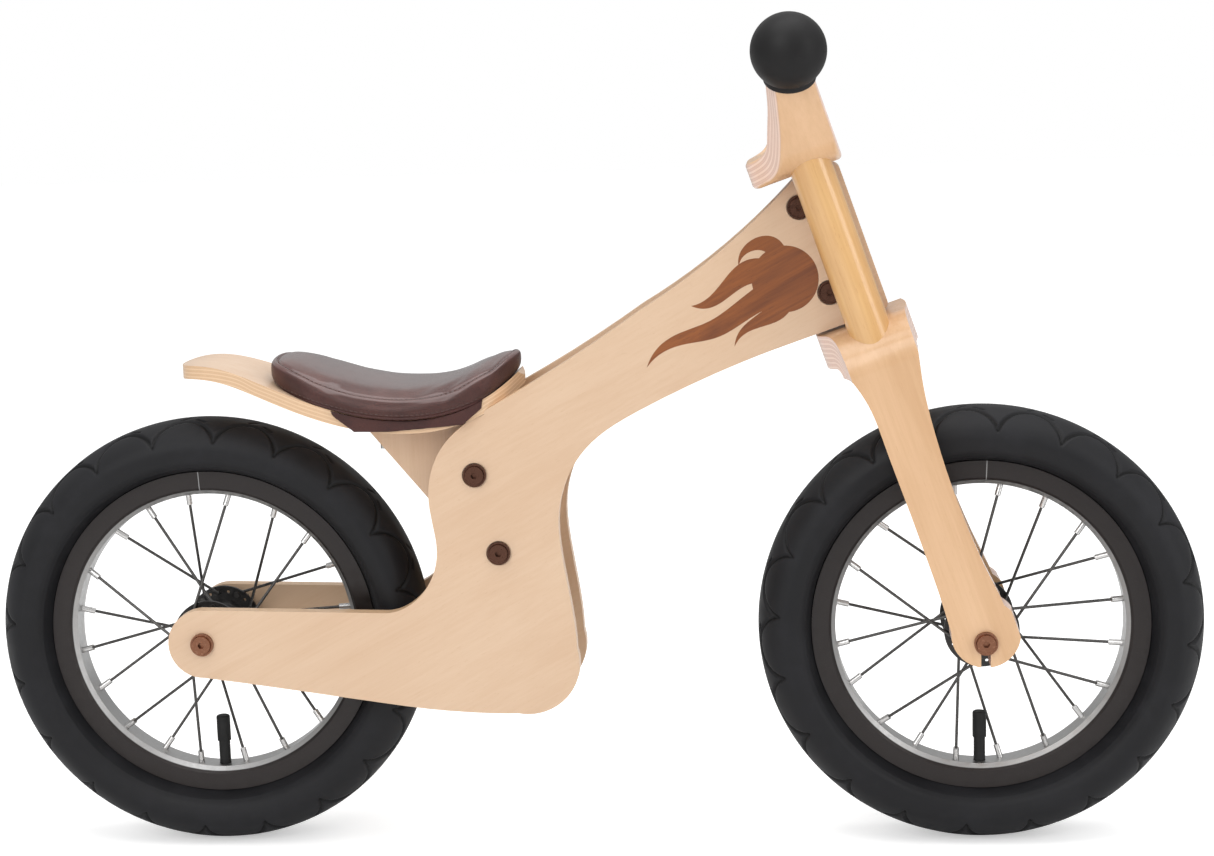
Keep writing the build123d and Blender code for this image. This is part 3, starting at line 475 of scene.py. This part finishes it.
finishes = {
    plate_wood: ["frame_plate_right", "frame_plate_left", "head_core"],
    walnut: ["inlay_right", "inlay_left"],
    post_wood: ["seat_post_core", "seat_post_cheek_right", "seat_post_cheek_left"],
    board_wood: ["seat_board"],
    fork_wood: ["fork"],
    bar_wood: ["handlebar"],
    beech: ["post_right", "post_left", "post_dowels", "seat_post_spacers"],
    bronze: ["head_core_bolts", "head_core_nuts", "seat_post_bolts", "seat_post_nuts", "steering_bolt",
             "steering_washers"],
    copper: ["rear_axle_bolts", "front_axle_bolts"],
    zinc: ["seat_screws", "rear_axle", "rear_axle_spacers", "front_axle", "front_axle_spacers",
           "steering_nut", "front_hub_bearings", "rear_hub_bearings"],
    nylon: ["upper_bush", "lower_bush"],
    grip_rubber: ["grip_right", "grip_left"],
    nickel: ["front_spoke_nipples", "rear_spoke_nipples"],
    black_wire: ["front_spokes", "rear_spokes"],
    black_hub: ["front_hub", "rear_hub"],
    rim_metal: ["front_rim", "rear_rim"],
    tube_rubber: ["front_inner_tube", "rear_inner_tube", "front_rim_tape", "rear_rim_tape",
                  "front_valve_stem", "rear_valve_stem"],
    cap_plastic: ["front_valve_cap", "rear_valve_cap"],
}
for finish, names in finishes.items():
    for name in names:
        cad[name].data.materials.clear()
        cad[name].data.materials.append(finish)


# ---------------------------------------------------------------- mesh helpers
def new_piece(name, verts, faces, material, smooth=True):
    mesh = bpy.data.meshes.new(name)
    mesh.from_pydata([tuple(v) for v in verts], [], faces)
    mesh.materials.append(material)
    mesh.polygons.foreach_set("use_smooth", [smooth] * len(mesh.polygons))
    piece = bpy.data.objects.new(name, mesh)
    scene.collection.objects.link(piece)
    return piece


def curve_through(points, closed=False, steps=12):
    """Smooth line through points (Catmull-Rom), as an array of places."""
    p = np.array(points, float)
    n = len(p)
    out = []
    for i in range(n if closed else n - 1):
        a, b, c, d = (p[(i + k) % n] if closed else p[min(max(i + k, 0), n - 1)] for k in (-1, 0, 1, 2))
        for t in np.arange(steps) / steps:
            out.append(0.5 * (2 * b + (c - a) * t + (2 * a - 5 * b + 4 * c - d) * t**2
                              + (3 * b - a - 3 * c + d) * t**3))
    if not closed:
        out.append(p[-1])
    return np.array(out)


def even_steps(line, step):
    """The same line cut into pieces of about the given length."""
    run = np.concatenate([[0], np.cumsum(np.linalg.norm(np.diff(line, axis=0), axis=1))])
    count = max(2, int(round(run[-1] / step)) + 1)
    at = np.linspace(0, run[-1], count)
    return np.stack([np.interp(at, run, line[:, k]) for k in range(line.shape[1])], axis=1), at


# ---------------------------------------------------------------- tyres
SCALLOPS = 20
AROUND = 900
TREAD_R = 140  # radius at which the scallops' pitch is taken, in millimetres
PITCH = 44  # length of one scallop round the tyre
GROOVE_DEEP = 1.8
FAR = 1e3  # stands for a place that no groove reaches


def tyre(name, centre_x, body, node):
    """Air tyre with scalloped grooves round each shoulder, short cuts between them and fine sidewall ribs."""
    flank = curve_through([(12.6, 113.8), (19.5, 116.6), (24.6, 121), (27, 129), (25.6, 135.2), (21.6, 140.6),
                           (15.5, 145.2), (8, 148.2), (0, 149)])
    flank, from_bead = even_steps(flank, 0.95)
    from_crown = from_bead[-1] - from_bead
    inside = curve_through([(0, 144.8), (9, 143.4), (17, 138.6), (22.6, 129.5), (20, 119.5), (6, 112.6)],
                           steps=3)
    half = np.vstack([[(5.6, 105.2), (9.4, 105.2), (9.4, 113.3)], flank])
    depth_at = np.concatenate([[FAR] * 3, from_crown])
    other = half[:-1][::-1] * (-1, 1)
    back = inside[1:][::-1] * (-1, 1)
    loop = np.vstack([half, other, back, inside])
    reach = np.concatenate([depth_at, depth_at[:-1][::-1], np.full(len(back) + len(inside), FAR)])
    skin = len(half) + len(other)
    turn = np.arange(AROUND) / AROUND
    phase = (turn * SCALLOPS + 0.25) % 1.0
    wave = np.abs(np.sin(math.pi * phase)) ** 0.62
    line = 31.5 - 21.5 * wave
    slope = np.abs(np.gradient(line)) / (2 * math.pi * TREAD_R / AROUND)
    away = np.abs(reach[None, :] - line[:, None]) / np.sqrt(1 + np.minimum(slope, 2.4)[:, None] ** 2)
    groove = np.clip(1.35 - away / 1.05, 0, 1)
    cut = np.abs((phase[:, None] - 0.5) * PITCH * 0.9 - (reach[None, :] - 4.5) * 0.9)
    dash = np.clip(1.5 - cut / 0.8, 0, 1) * (np.abs(reach[None, :] - 4.5) < 2.6)
    barb = np.abs((phase[:, None] - 0.28) * PITCH + (reach[None, :] - 9.0) * 1.4)
    short = np.clip(1.3 - barb / 0.9, 0, 1) * (np.abs(reach[None, :] - 9.5) < 2.2)
    groove = np.maximum(np.maximum(groove, dash), short)
    groove[:, skin:] = 0
    ribs = 0.22 * (np.abs(loop[:, 1] - 117.5) < 0.6) + 0.15 * (np.abs(loop[:, 1] - 121.5) < 0.5)
    ribs[skin:] = 0
    normal = np.gradient(loop, axis=0)
    normal = np.stack([-normal[:, 1], normal[:, 0]], axis=1)
    normal /= np.linalg.norm(normal, axis=1)[:, None]
    if np.dot(normal[len(half) - 1], (0, 1)) < 0:
        normal = -normal
    move = -GROOVE_DEEP * groove + ribs[None, :]
    y = loop[None, :, 0] + move * normal[None, :, 0]
    r = loop[None, :, 1] + move * normal[None, :, 1]
    angle = (turn * 2 * math.pi)[:, None]
    verts = np.stack([centre_x + r * np.cos(angle) * MM, y * MM, AXLE_Z + r * np.sin(angle) * MM], axis=2)
    m = len(loop)
    i, j = np.meshgrid(np.arange(AROUND), np.arange(m), indexing="ij")
    after, beside = (i + 1) % AROUND, (j + 1) % m
    quads = np.stack([i * m + j, i * m + beside, after * m + beside, after * m + j], axis=2).reshape(-1, 4)
    piece = new_piece(name, verts.reshape(-1, 3), quads.tolist(), tyre_rubber)
    mesh = piece.data
    tool = bmesh.new()
    tool.from_mesh(mesh)
    bmesh.ops.recalc_face_normals(tool, faces=tool.faces)
    tool.to_mesh(mesh)
    tool.free()
    # the groove mask is kept on the mesh so the tyre's rubber can paint shade into the grooves
    mark = mesh.attributes.new("groove", "FLOAT", "POINT")
    mark.data.foreach_set("value", np.clip(groove, 0, 1).reshape(-1).astype(np.float32))
    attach(piece, body)
    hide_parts(node)


tyre("rear_tread_tyre", REAR_X, "rear_wheel", "rear_tyre")
tyre("front_tread_tyre", -REAR_X, "front_wheel", "front_tyre")


# ---------------------------------------------------------------- saddle
def leather(name, base, tone, pebbles, depth, rough, coat):
    material, tree, skin, where, normal = new_material(name, Coat_Roughness=0.22, Coat_Weight=coat,
                                                       Specular_IOR_Level=0.3)
    hide = use(tree, HIDE, Vector=where, Pebbles=pebbles, Depth=depth)
    colour = mix(tree, ramp(tree, hide["Tone"], 0.3, 0.7), base, tone)
    # painted shade: the creases between the pebbles are darkened, as shade that falls in them
    colour = mix(tree, calc(tree, "MULTIPLY", hide["Crease"], 0.45), colour, (0.012, 0.004, 0.004, 1))
    tree.links.new(colour, skin.inputs["Base Color"])
    tree.links.new(calc(tree, "MULTIPLY_ADD", hide["Tone"], 0.2, rough), skin.inputs["Roughness"])
    relief(tree, skin, hide["Height"], 0.00018, 0.55)
    return material


def saddle_leather():
    """Glossy smooth top, and a side wall whose hide is more deeply pebbled."""
    material, tree, skin, where, normal = new_material("saddle_leather", Coat_Roughness=0.14,
                                                       Specular_IOR_Level=0.35)
    top = use(tree, HIDE, Vector=where, Pebbles=2200.0, Depth=0.35)
    wall = use(tree, HIDE, Vector=where, Pebbles=1240.0, Depth=1.0)
    up = ramp(tree, split_xyz(tree, normal)[2], 0.35, 0.7)
    smooth_colour = mix(tree, ramp(tree, top["Tone"], 0.3, 0.7), (0.072, 0.024, 0.020, 1),
                        (0.105, 0.040, 0.033, 1))
    rough_colour = mix(tree, ramp(tree, wall["Tone"], 0.3, 0.7), (0.058, 0.0165, 0.0125, 1),
                       (0.088, 0.028, 0.022, 1))
    # painted shade: the creases of the side wall's pebbles are darkened to near black, as shade that falls in
    # them
    crease_shade = calc(tree, "MULTIPLY", wall["Crease"], 0.6)
    rough_colour = mix(tree, crease_shade, rough_colour, (0.010, 0.004, 0.003, 1))
    tree.links.new(mix(tree, up, rough_colour, smooth_colour), skin.inputs["Base Color"])
    tree.links.new(ramp(tree, up, 0.0, 1.0, 0.42, 0.27), skin.inputs["Roughness"])
    tree.links.new(ramp(tree, up, 0.0, 1.0, 0.08, 1.0), skin.inputs["Coat Weight"])
    height = put(tree, "ShaderNodeMix", {0: up, 2: wall["Height"], 3: top["Height"]}).outputs[0]
    relief(tree, skin, height, 0.0002, 0.6)
    return material


pad_hide = saddle_leather()
flap_hide = leather("flap_leather", (0.052, 0.0145, 0.012, 1), (0.080, 0.025, 0.020, 1),
                    1280.0, 0.8, 0.38, 0.1)


def thread_finish():
    material, tree, skin, where, normal = new_material("stitch_thread", Roughness=0.7, Sheen_Weight=0.3)
    # painted highlight and shade: the thread is lighter on its twist's ridges and darker between them, as
    # light falls on it; the same wave gives the bump
    twist = put(tree, "ShaderNodeTexWave", {"Vector": where, "Scale": 900.0, "Distortion": 2.0})
    colour = mix(tree, twist.outputs["Fac"], (0.045, 0.016, 0.012, 1), (0.10, 0.045, 0.035, 1))
    tree.links.new(colour, skin.inputs["Base Color"])
    relief(tree, skin, twist.outputs["Fac"], 0.0001, 0.6)
    return material


thread = thread_finish()
pad_outline = [(50, 0), (55, 28), (75, 44), (100, 50), (130, 52), (168, 50), (202, 38), (219, 0)]
pad_outline += [(x, -y) for x, y in pad_outline[-2:0:-1]]


def pad_ring(inset):
    """The saddle's plan outline drawn in by inset millimetres, in metres."""
    ring = curve_through(pad_outline, closed=True)
    run = np.roll(ring, -1, axis=0) - np.roll(ring, 1, axis=0)
    side = np.stack([run[:, 1], -run[:, 0]], axis=1)
    side /= np.linalg.norm(side, axis=1)[:, None]
    if np.dot(side[0], ring[0] - ring.mean(axis=0)) > 0:
        side = -side
    ring = (ring + side * inset) * MM
    ring[:, 0] += REAR_X
    return ring


def solid_copy(name, node, voxel):
    """Copy of a CAD node with its doubles merged, remeshed evenly."""
    mesh = cad[node].data.copy()
    mesh.name = name
    tool = bmesh.new()
    tool.from_mesh(mesh)
    bmesh.ops.remove_doubles(tool, verts=tool.verts, dist=1e-6)
    bmesh.ops.recalc_face_normals(tool, faces=tool.faces)
    tool.to_mesh(mesh)
    tool.free()
    piece = bpy.data.objects.new(name, mesh)
    scene.collection.objects.link(piece)
    remesh = piece.modifiers.new("even", "REMESH")
    remesh.mode = "VOXEL"
    remesh.voxel_size = voxel
    bake(piece)
    return piece


def bake(piece):
    """Apply every modifier on a piece."""
    bpy.context.view_layer.update()
    done = bpy.data.meshes.new_from_object(piece.evaluated_get(bpy.context.evaluated_depsgraph_get()))
    piece.modifiers.clear()
    piece.data = done


def points_of(mesh):
    co = np.zeros(len(mesh.vertices) * 3)
    mesh.vertices.foreach_get("co", co)
    return co.reshape(-1, 3)


def set_points(mesh, co):
    mesh.vertices.foreach_set("co", co.reshape(-1))
    mesh.update()


def normals_of(mesh):
    no = np.zeros(len(mesh.vertices) * 3)
    mesh.vertices.foreach_get("normal", no)
    return no.reshape(-1, 3)


def puff(piece, pinned, cap):
    """Swell a piece as stuffed leather, moving no point further than cap."""
    start = points_of(piece.data)
    group = piece.vertex_groups.new(name="held")
    group.add([int(i) for i in np.nonzero(pinned)[0]], 1.0, "REPLACE")
    cloth = piece.modifiers.new("stuffing", "CLOTH")
    cloth.settings.vertex_group_mass = "held"
    cloth.settings.use_pressure = True
    cloth.settings.uniform_pressure_force = 4.0
    cloth.settings.effector_weights.gravity = 0.0
    cloth.settings.tension_stiffness = 25
    cloth.settings.compression_stiffness = 25
    cloth.point_cache.frame_start = 1
    cloth.point_cache.frame_end = 20
    for step in range(1, 21):
        scene.frame_set(step)
    bake(piece)
    scene.frame_set(1)
    move = points_of(piece.data) - start
    far = np.linalg.norm(move, axis=1)[:, None]
    set_points(piece.data, start + move * np.minimum(1.0, cap / np.maximum(far, 1e-9)))


SEAM_INSET = 5.2  # the top seam, in from the plan outline, in millimetres
BASE_INSET = 2.6
BASE_HIGH = 0.3
SEAT_PLY_HALF = 4.5
SPINE = (REAR_X / MM + 84, REAR_X / MM + 186)  # the crown's rings close onto this line
PUFF_CAP = 0.0016


def cushion_mesh(name):
    """Stuffed saddle drawn ring by ring: upright wall, rolled seam edge, low crown, flat base."""
    line = curve_through(SEAT_LINE, steps=24)
    slope = np.gradient(line[:, 1], line[:, 0])
    wall = curve_through([(BASE_INSET, BASE_HIGH), (0.6, 3.2), (0.2, 8), (1.0, 12.2), (3.4, 14.9),
                          (SEAM_INSET, 15.3)], steps=4)
    crown = curve_through([(0.0, 15.3), (0.10, 16.6), (0.28, 18.0), (0.6, 18.9), (1.0, 19.2)], steps=4)[1:]
    layers = [(inset, 0.0, high) for inset, high in wall]
    layers += [(SEAM_INSET, share, high) for share, high in crown]
    crest = len(layers) - 1  # no faces run from the crest down to the base
    layers += [(BASE_INSET, share, BASE_HIGH) for share in (1.0, 0.7, 0.4, 0.15)]
    verts = []
    for inset, share, high in layers:
        ring = pad_ring(inset) / MM
        spine = np.clip(ring[:, 0], *SPINE)
        x = ring[:, 0] * (1 - share) + spine * share
        y = ring[:, 1] * (1 - share)
        along = x - REAR_X / MM
        middle = np.interp(along, line[:, 0], line[:, 1])
        lean = np.interp(along, line[:, 0], slope)
        nose = np.clip((along - 185) / 34, 0, 1) ** 2
        z = middle + (SEAT_PLY_HALF + high * (1 - 0.25 * nose)) * np.sqrt(1 + lean**2)
        verts.append(np.stack([x, y, z], axis=1) * MM)
    around = len(verts[0])
    faces = []
    for layer in range(len(layers)):
        if layer == crest:
            continue
        after = (layer + 1) % len(layers)
        for k in range(around):
            n = (k + 1) % around
            faces.append((layer * around + k, layer * around + n, after * around + n, after * around + k))
    piece = new_piece(name, np.concatenate(verts), faces, pad_hide)
    tool = bmesh.new()
    tool.from_mesh(piece.data)
    bmesh.ops.remove_doubles(tool, verts=tool.verts, dist=2e-5)
    bmesh.ops.dissolve_degenerate(tool, edges=tool.edges, dist=1e-5)
    bmesh.ops.recalc_face_normals(tool, faces=tool.faces)
    tool.to_mesh(piece.data)
    tool.free()
    return piece


def make_saddle():
    pad = cushion_mesh("saddle")
    under = normals_of(pad.data)[:, 2] < -0.35
    puff(pad, under, PUFF_CAP)
    soft = pad.modifiers.new("soft", "SMOOTH")
    soft.iterations = 6
    finer = pad.modifiers.new("finer", "SUBSURF")
    finer.levels = finer.render_levels = 1
    bake(pad)
    pad.data.polygons.foreach_set("use_smooth", [True] * len(pad.data.polygons))
    return pad


def drop_on(pad, ring, lift):
    """Places of a plan line laid on the top of the pad."""
    tree = BVHTree.FromPolygons([v.co for v in pad.data.vertices], [p.vertices for p in pad.data.polygons])
    out = []
    for x, y in ring:
        hit = tree.ray_cast(Vector((x, y, 0.6)), Vector((0, 0, -1)))[0]
        if hit:
            out.append(hit + Vector((0, 0, lift)))
    return out


def on_wall(pad, rise):
    """Line round the pad's side wall, at a height above its lower edge."""
    tree = BVHTree.FromPolygons([v.co for v in pad.data.vertices], [p.vertices for p in pad.data.polygons])
    out = []
    for (x, y), (in_x, in_y) in zip(pad_ring(0.0), pad_ring(8.0)):
        foot = tree.ray_cast(Vector((in_x, in_y, 0.2)), Vector((0, 0, 1)))[0]
        if not foot:
            continue
        way = Vector((in_x - x, in_y - y, 0)).normalized()
        hit = tree.ray_cast(Vector((x, y, foot.z + rise)) - way * 0.02, way)[0]
        if hit:
            out.append(hit)
    return out


def sink(mesh, line, width, depth):
    """Draw the surface in along a line, as a sewn seam does."""
    co, no = points_of(mesh), normals_of(mesh)
    dense = np.array(line)
    gap = np.full(len(co), 1e3)
    for part in np.array_split(dense, max(1, len(dense) // 40)):
        gap = np.minimum(gap, np.linalg.norm(co[:, None] - part[None], axis=2).min(axis=1))
    set_points(mesh, co - no * (depth * np.exp(-((gap / width) ** 2)))[:, None])


def stitch_tree():
    """Row of stitches: rounded threads laid end to end along a line."""
    tree = bpy.data.node_groups.new("stitch_row", "GeometryNodeTree")
    face = tree.interface
    face.new_socket("Geometry", in_out="INPUT", socket_type="NodeSocketGeometry")
    for label, value in (("Spacing", 0.0034), ("Length", 0.0024), ("Thread radius", 0.00035)):
        face.new_socket(label, in_out="INPUT", socket_type="NodeSocketFloat").default_value = value
    face.new_socket("Material", in_out="INPUT", socket_type="NodeSocketMaterial")
    face.new_socket("Geometry", in_out="OUTPUT", socket_type="NodeSocketGeometry")
    give = tree.nodes.new("NodeGroupInput").outputs
    take = tree.nodes.new("NodeGroupOutput").inputs
    cut = put(tree, "GeometryNodeResampleCurve", {"Curve": give["Geometry"], "Length": give["Spacing"]},
              mode="LENGTH")
    run = put(tree, "GeometryNodeInputTangent")
    turn = put(tree, "FunctionNodeAlignRotationToVector", {"Vector": run.outputs[0]}, axis="Z")
    ball = put(tree, "GeometryNodeMeshIcoSphere", {"Radius": give["Thread radius"], "Subdivisions": 2})
    long = put(tree, "ShaderNodeMath", {0: give["Length"], 1: give["Thread radius"]}, operation="DIVIDE")
    half = put(tree, "ShaderNodeMath", {0: long.outputs[0], 1: 0.5}, operation="MULTIPLY")
    size = put(tree, "ShaderNodeCombineXYZ", {0: 1.0, 1: 1.0, 2: half.outputs[0]})
    rows = put(tree, "GeometryNodeInstanceOnPoints",
               {"Points": cut.outputs[0], "Instance": ball.outputs[0], "Rotation": turn.outputs[0],
                "Scale": size.outputs[0]})
    real = put(tree, "GeometryNodeRealizeInstances", {0: rows.outputs[0]})
    done = put(tree, "GeometryNodeSetMaterial", {"Geometry": real.outputs[0], "Material": give["Material"]})
    tree.links.new(done.outputs[0], take[0])
    return tree


STITCHES = stitch_tree()


def stitch_row(name, line, body):
    """Stitches round a closed line of places, as one mesh riding on a body."""
    curve = bpy.data.curves.new(name, "CURVE")
    curve.dimensions = "3D"
    spline = curve.splines.new("POLY")
    spline.points.add(len(line) - 1)
    for point, place in zip(spline.points, line):
        point.co = (*place, 1)
    spline.use_cyclic_u = True
    guide = bpy.data.objects.new(name + "_guide", curve)
    scene.collection.objects.link(guide)
    sewing = guide.modifiers.new("sewing", "NODES")
    sewing.node_group = STITCHES
    values = {"Spacing": 0.0034, "Length": 0.0024, "Thread radius": 0.00035, "Material": thread}
    for socket in STITCHES.interface.items_tree:
        if socket.in_out == "INPUT" and socket.name in values:
            sewing[socket.identifier] = values[socket.name]
    bpy.context.view_layer.update()
    mesh = bpy.data.meshes.new_from_object(guide.evaluated_get(bpy.context.evaluated_depsgraph_get()))
    bpy.data.objects.remove(guide)
    mesh.polygons.foreach_set("use_smooth", [True] * len(mesh.polygons))
    piece = bpy.data.objects.new(name, mesh)
    scene.collection.objects.link(piece)
    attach(piece, body)
    return piece


def tube_along(name, line, radius, material, sides=8):
    """Round welt along a closed line of places."""
    p = np.array([tuple(v) for v in line])
    n = len(p)
    run = np.roll(p, -1, axis=0) - np.roll(p, 1, axis=0)
    run /= np.linalg.norm(run, axis=1)[:, None]
    side = np.cross(run, (0, 0, 1.0))
    side /= np.linalg.norm(side, axis=1)[:, None]
    up = np.cross(side, run)
    verts, faces = [], []
    for i in range(n):
        for k in range(sides):
            a = 2 * math.pi * k / sides
            verts.append(p[i] + radius * (side[i] * math.cos(a) + up[i] * math.sin(a)))
            here, there = i * sides, ((i + 1) % n) * sides
            faces.append((here + k, here + (k + 1) % sides, there + (k + 1) % sides, there + k))
    return new_piece(name, verts, faces, material)


saddle = make_saddle()
top_seam = drop_on(saddle, pad_ring(SEAM_INSET), 0.0)
sink(saddle.data, [tuple(v) for v in top_seam], 0.0013, 0.0009)
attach(saddle, "frame")
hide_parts("seat_pad")
stitch_row("saddle_stitches", drop_on(saddle, pad_ring(SEAM_INSET), 0.0001), "frame")
stitch_row("wall_stitches", on_wall(saddle, 0.0034), "frame")
welt = tube_along("saddle_welt", on_wall(saddle, 0.0013), 0.0011, flap_hide)
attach(welt, "frame")
for name, node in (("right_flap", "seat_flap_right"), ("left_flap", "seat_flap_left")):
    flap = solid_copy(name, node, 0.0006)
    flap.data.materials.clear()
    flap.data.materials.append(flap_hide)
    soft = flap.modifiers.new("soft", "SMOOTH")
    soft.iterations = 4
    bake(flap)
    flap.data.polygons.foreach_set("use_smooth", [True] * len(flap.data.polygons))
    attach(flap, "frame")
    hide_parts(node)


# ---------------------------------------------------------------- floor, light, camera
def floor_finish():
    material, tree, skin, where, normal = new_material("pale_floor", Roughness=0.6)
    tree.links.new(mix(tree, noise(tree, where, 3, 2), (0.86, 0.86, 0.86, 1), (0.89, 0.89, 0.89, 1)),
                   skin.inputs["Base Color"])
    seen = put(tree, "ShaderNodeLightPath").outputs["Is Camera Ray"]
    skin.inputs["Emission Color"].default_value = (1, 1, 1, 1)
    tree.links.new(calc(tree, "MULTIPLY", seen, 0.42), skin.inputs["Emission Strength"])
    return material


FLOOR_HALF = 8
FLOOR_Z = -0.0003
corners = [(x * FLOOR_HALF, y * FLOOR_HALF, FLOOR_Z) for x, y in ((-1, -1), (1, -1), (1, 1), (-1, 1))]
floor = new_piece("floor", corners, [(0, 1, 2, 3)], floor_finish(), smooth=False)

world = scene.world or bpy.data.worlds.new("studio")
scene.world = world
world.use_nodes = True
sky = world.node_tree
room = sky.nodes["Background"]
seen = put(sky, "ShaderNodeLightPath").outputs["Is Camera Ray"]
up = put(sky, "ShaderNodeSeparateXYZ", {0: put(sky, "ShaderNodeTexCoord").outputs["Generated"]}).outputs[2]
fill = ramp(sky, up, -0.1, 0.7, 0.34, 0.75)
sky.links.new(put(sky, "ShaderNodeMix", {0: seen, 2: fill, 3: 1.0}).outputs[0], room.inputs["Strength"])
room.inputs["Color"].default_value = (1.0, 1.0, 1.0, 1)


def softbox(name, place, target, size, watts):
    light = bpy.data.lights.new(name, "AREA")
    light.shape = "RECTANGLE"
    light.size, light.size_y = size
    light.energy = watts
    lamp = bpy.data.objects.new(name, light)
    scene.collection.objects.link(lamp)
    lamp.location = place
    lamp.rotation_euler = (Vector(target) - Vector(place)).to_track_quat("-Z", "Y").to_euler()


softbox("top_softbox", (0.1, -0.2, 2.2), (0, 0, 0.3), (2.4, 1.6), 25)
softbox("front_softbox", (-0.9, -2.2, 1.5), (0, 0, 0.3), (1.6, 1.6), 24)
softbox("side_softbox", (1.9, -1.0, 0.9), (0, 0, 0.3), (0.8, 1.6), 11)

lens = bpy.data.cameras.new("camera")
lens.lens = 68.2
lens.sensor_width = 36.0
camera = bpy.data.objects.new("camera", lens)
scene.collection.objects.link(camera)
turn = Vector((-0.169298, 0.0225212, 0.0801044))
aim = Quaternion(turn.normalized(), turn.length).to_matrix() @ Matrix.Rotation(math.pi / 2, 3, "X")
camera.matrix_world = Matrix.Translation((0.14005, -1.52612, 0.54584)) @ aim.to_4x4()
scene.camera = camera
scene.view_settings.view_transform = "Standard"
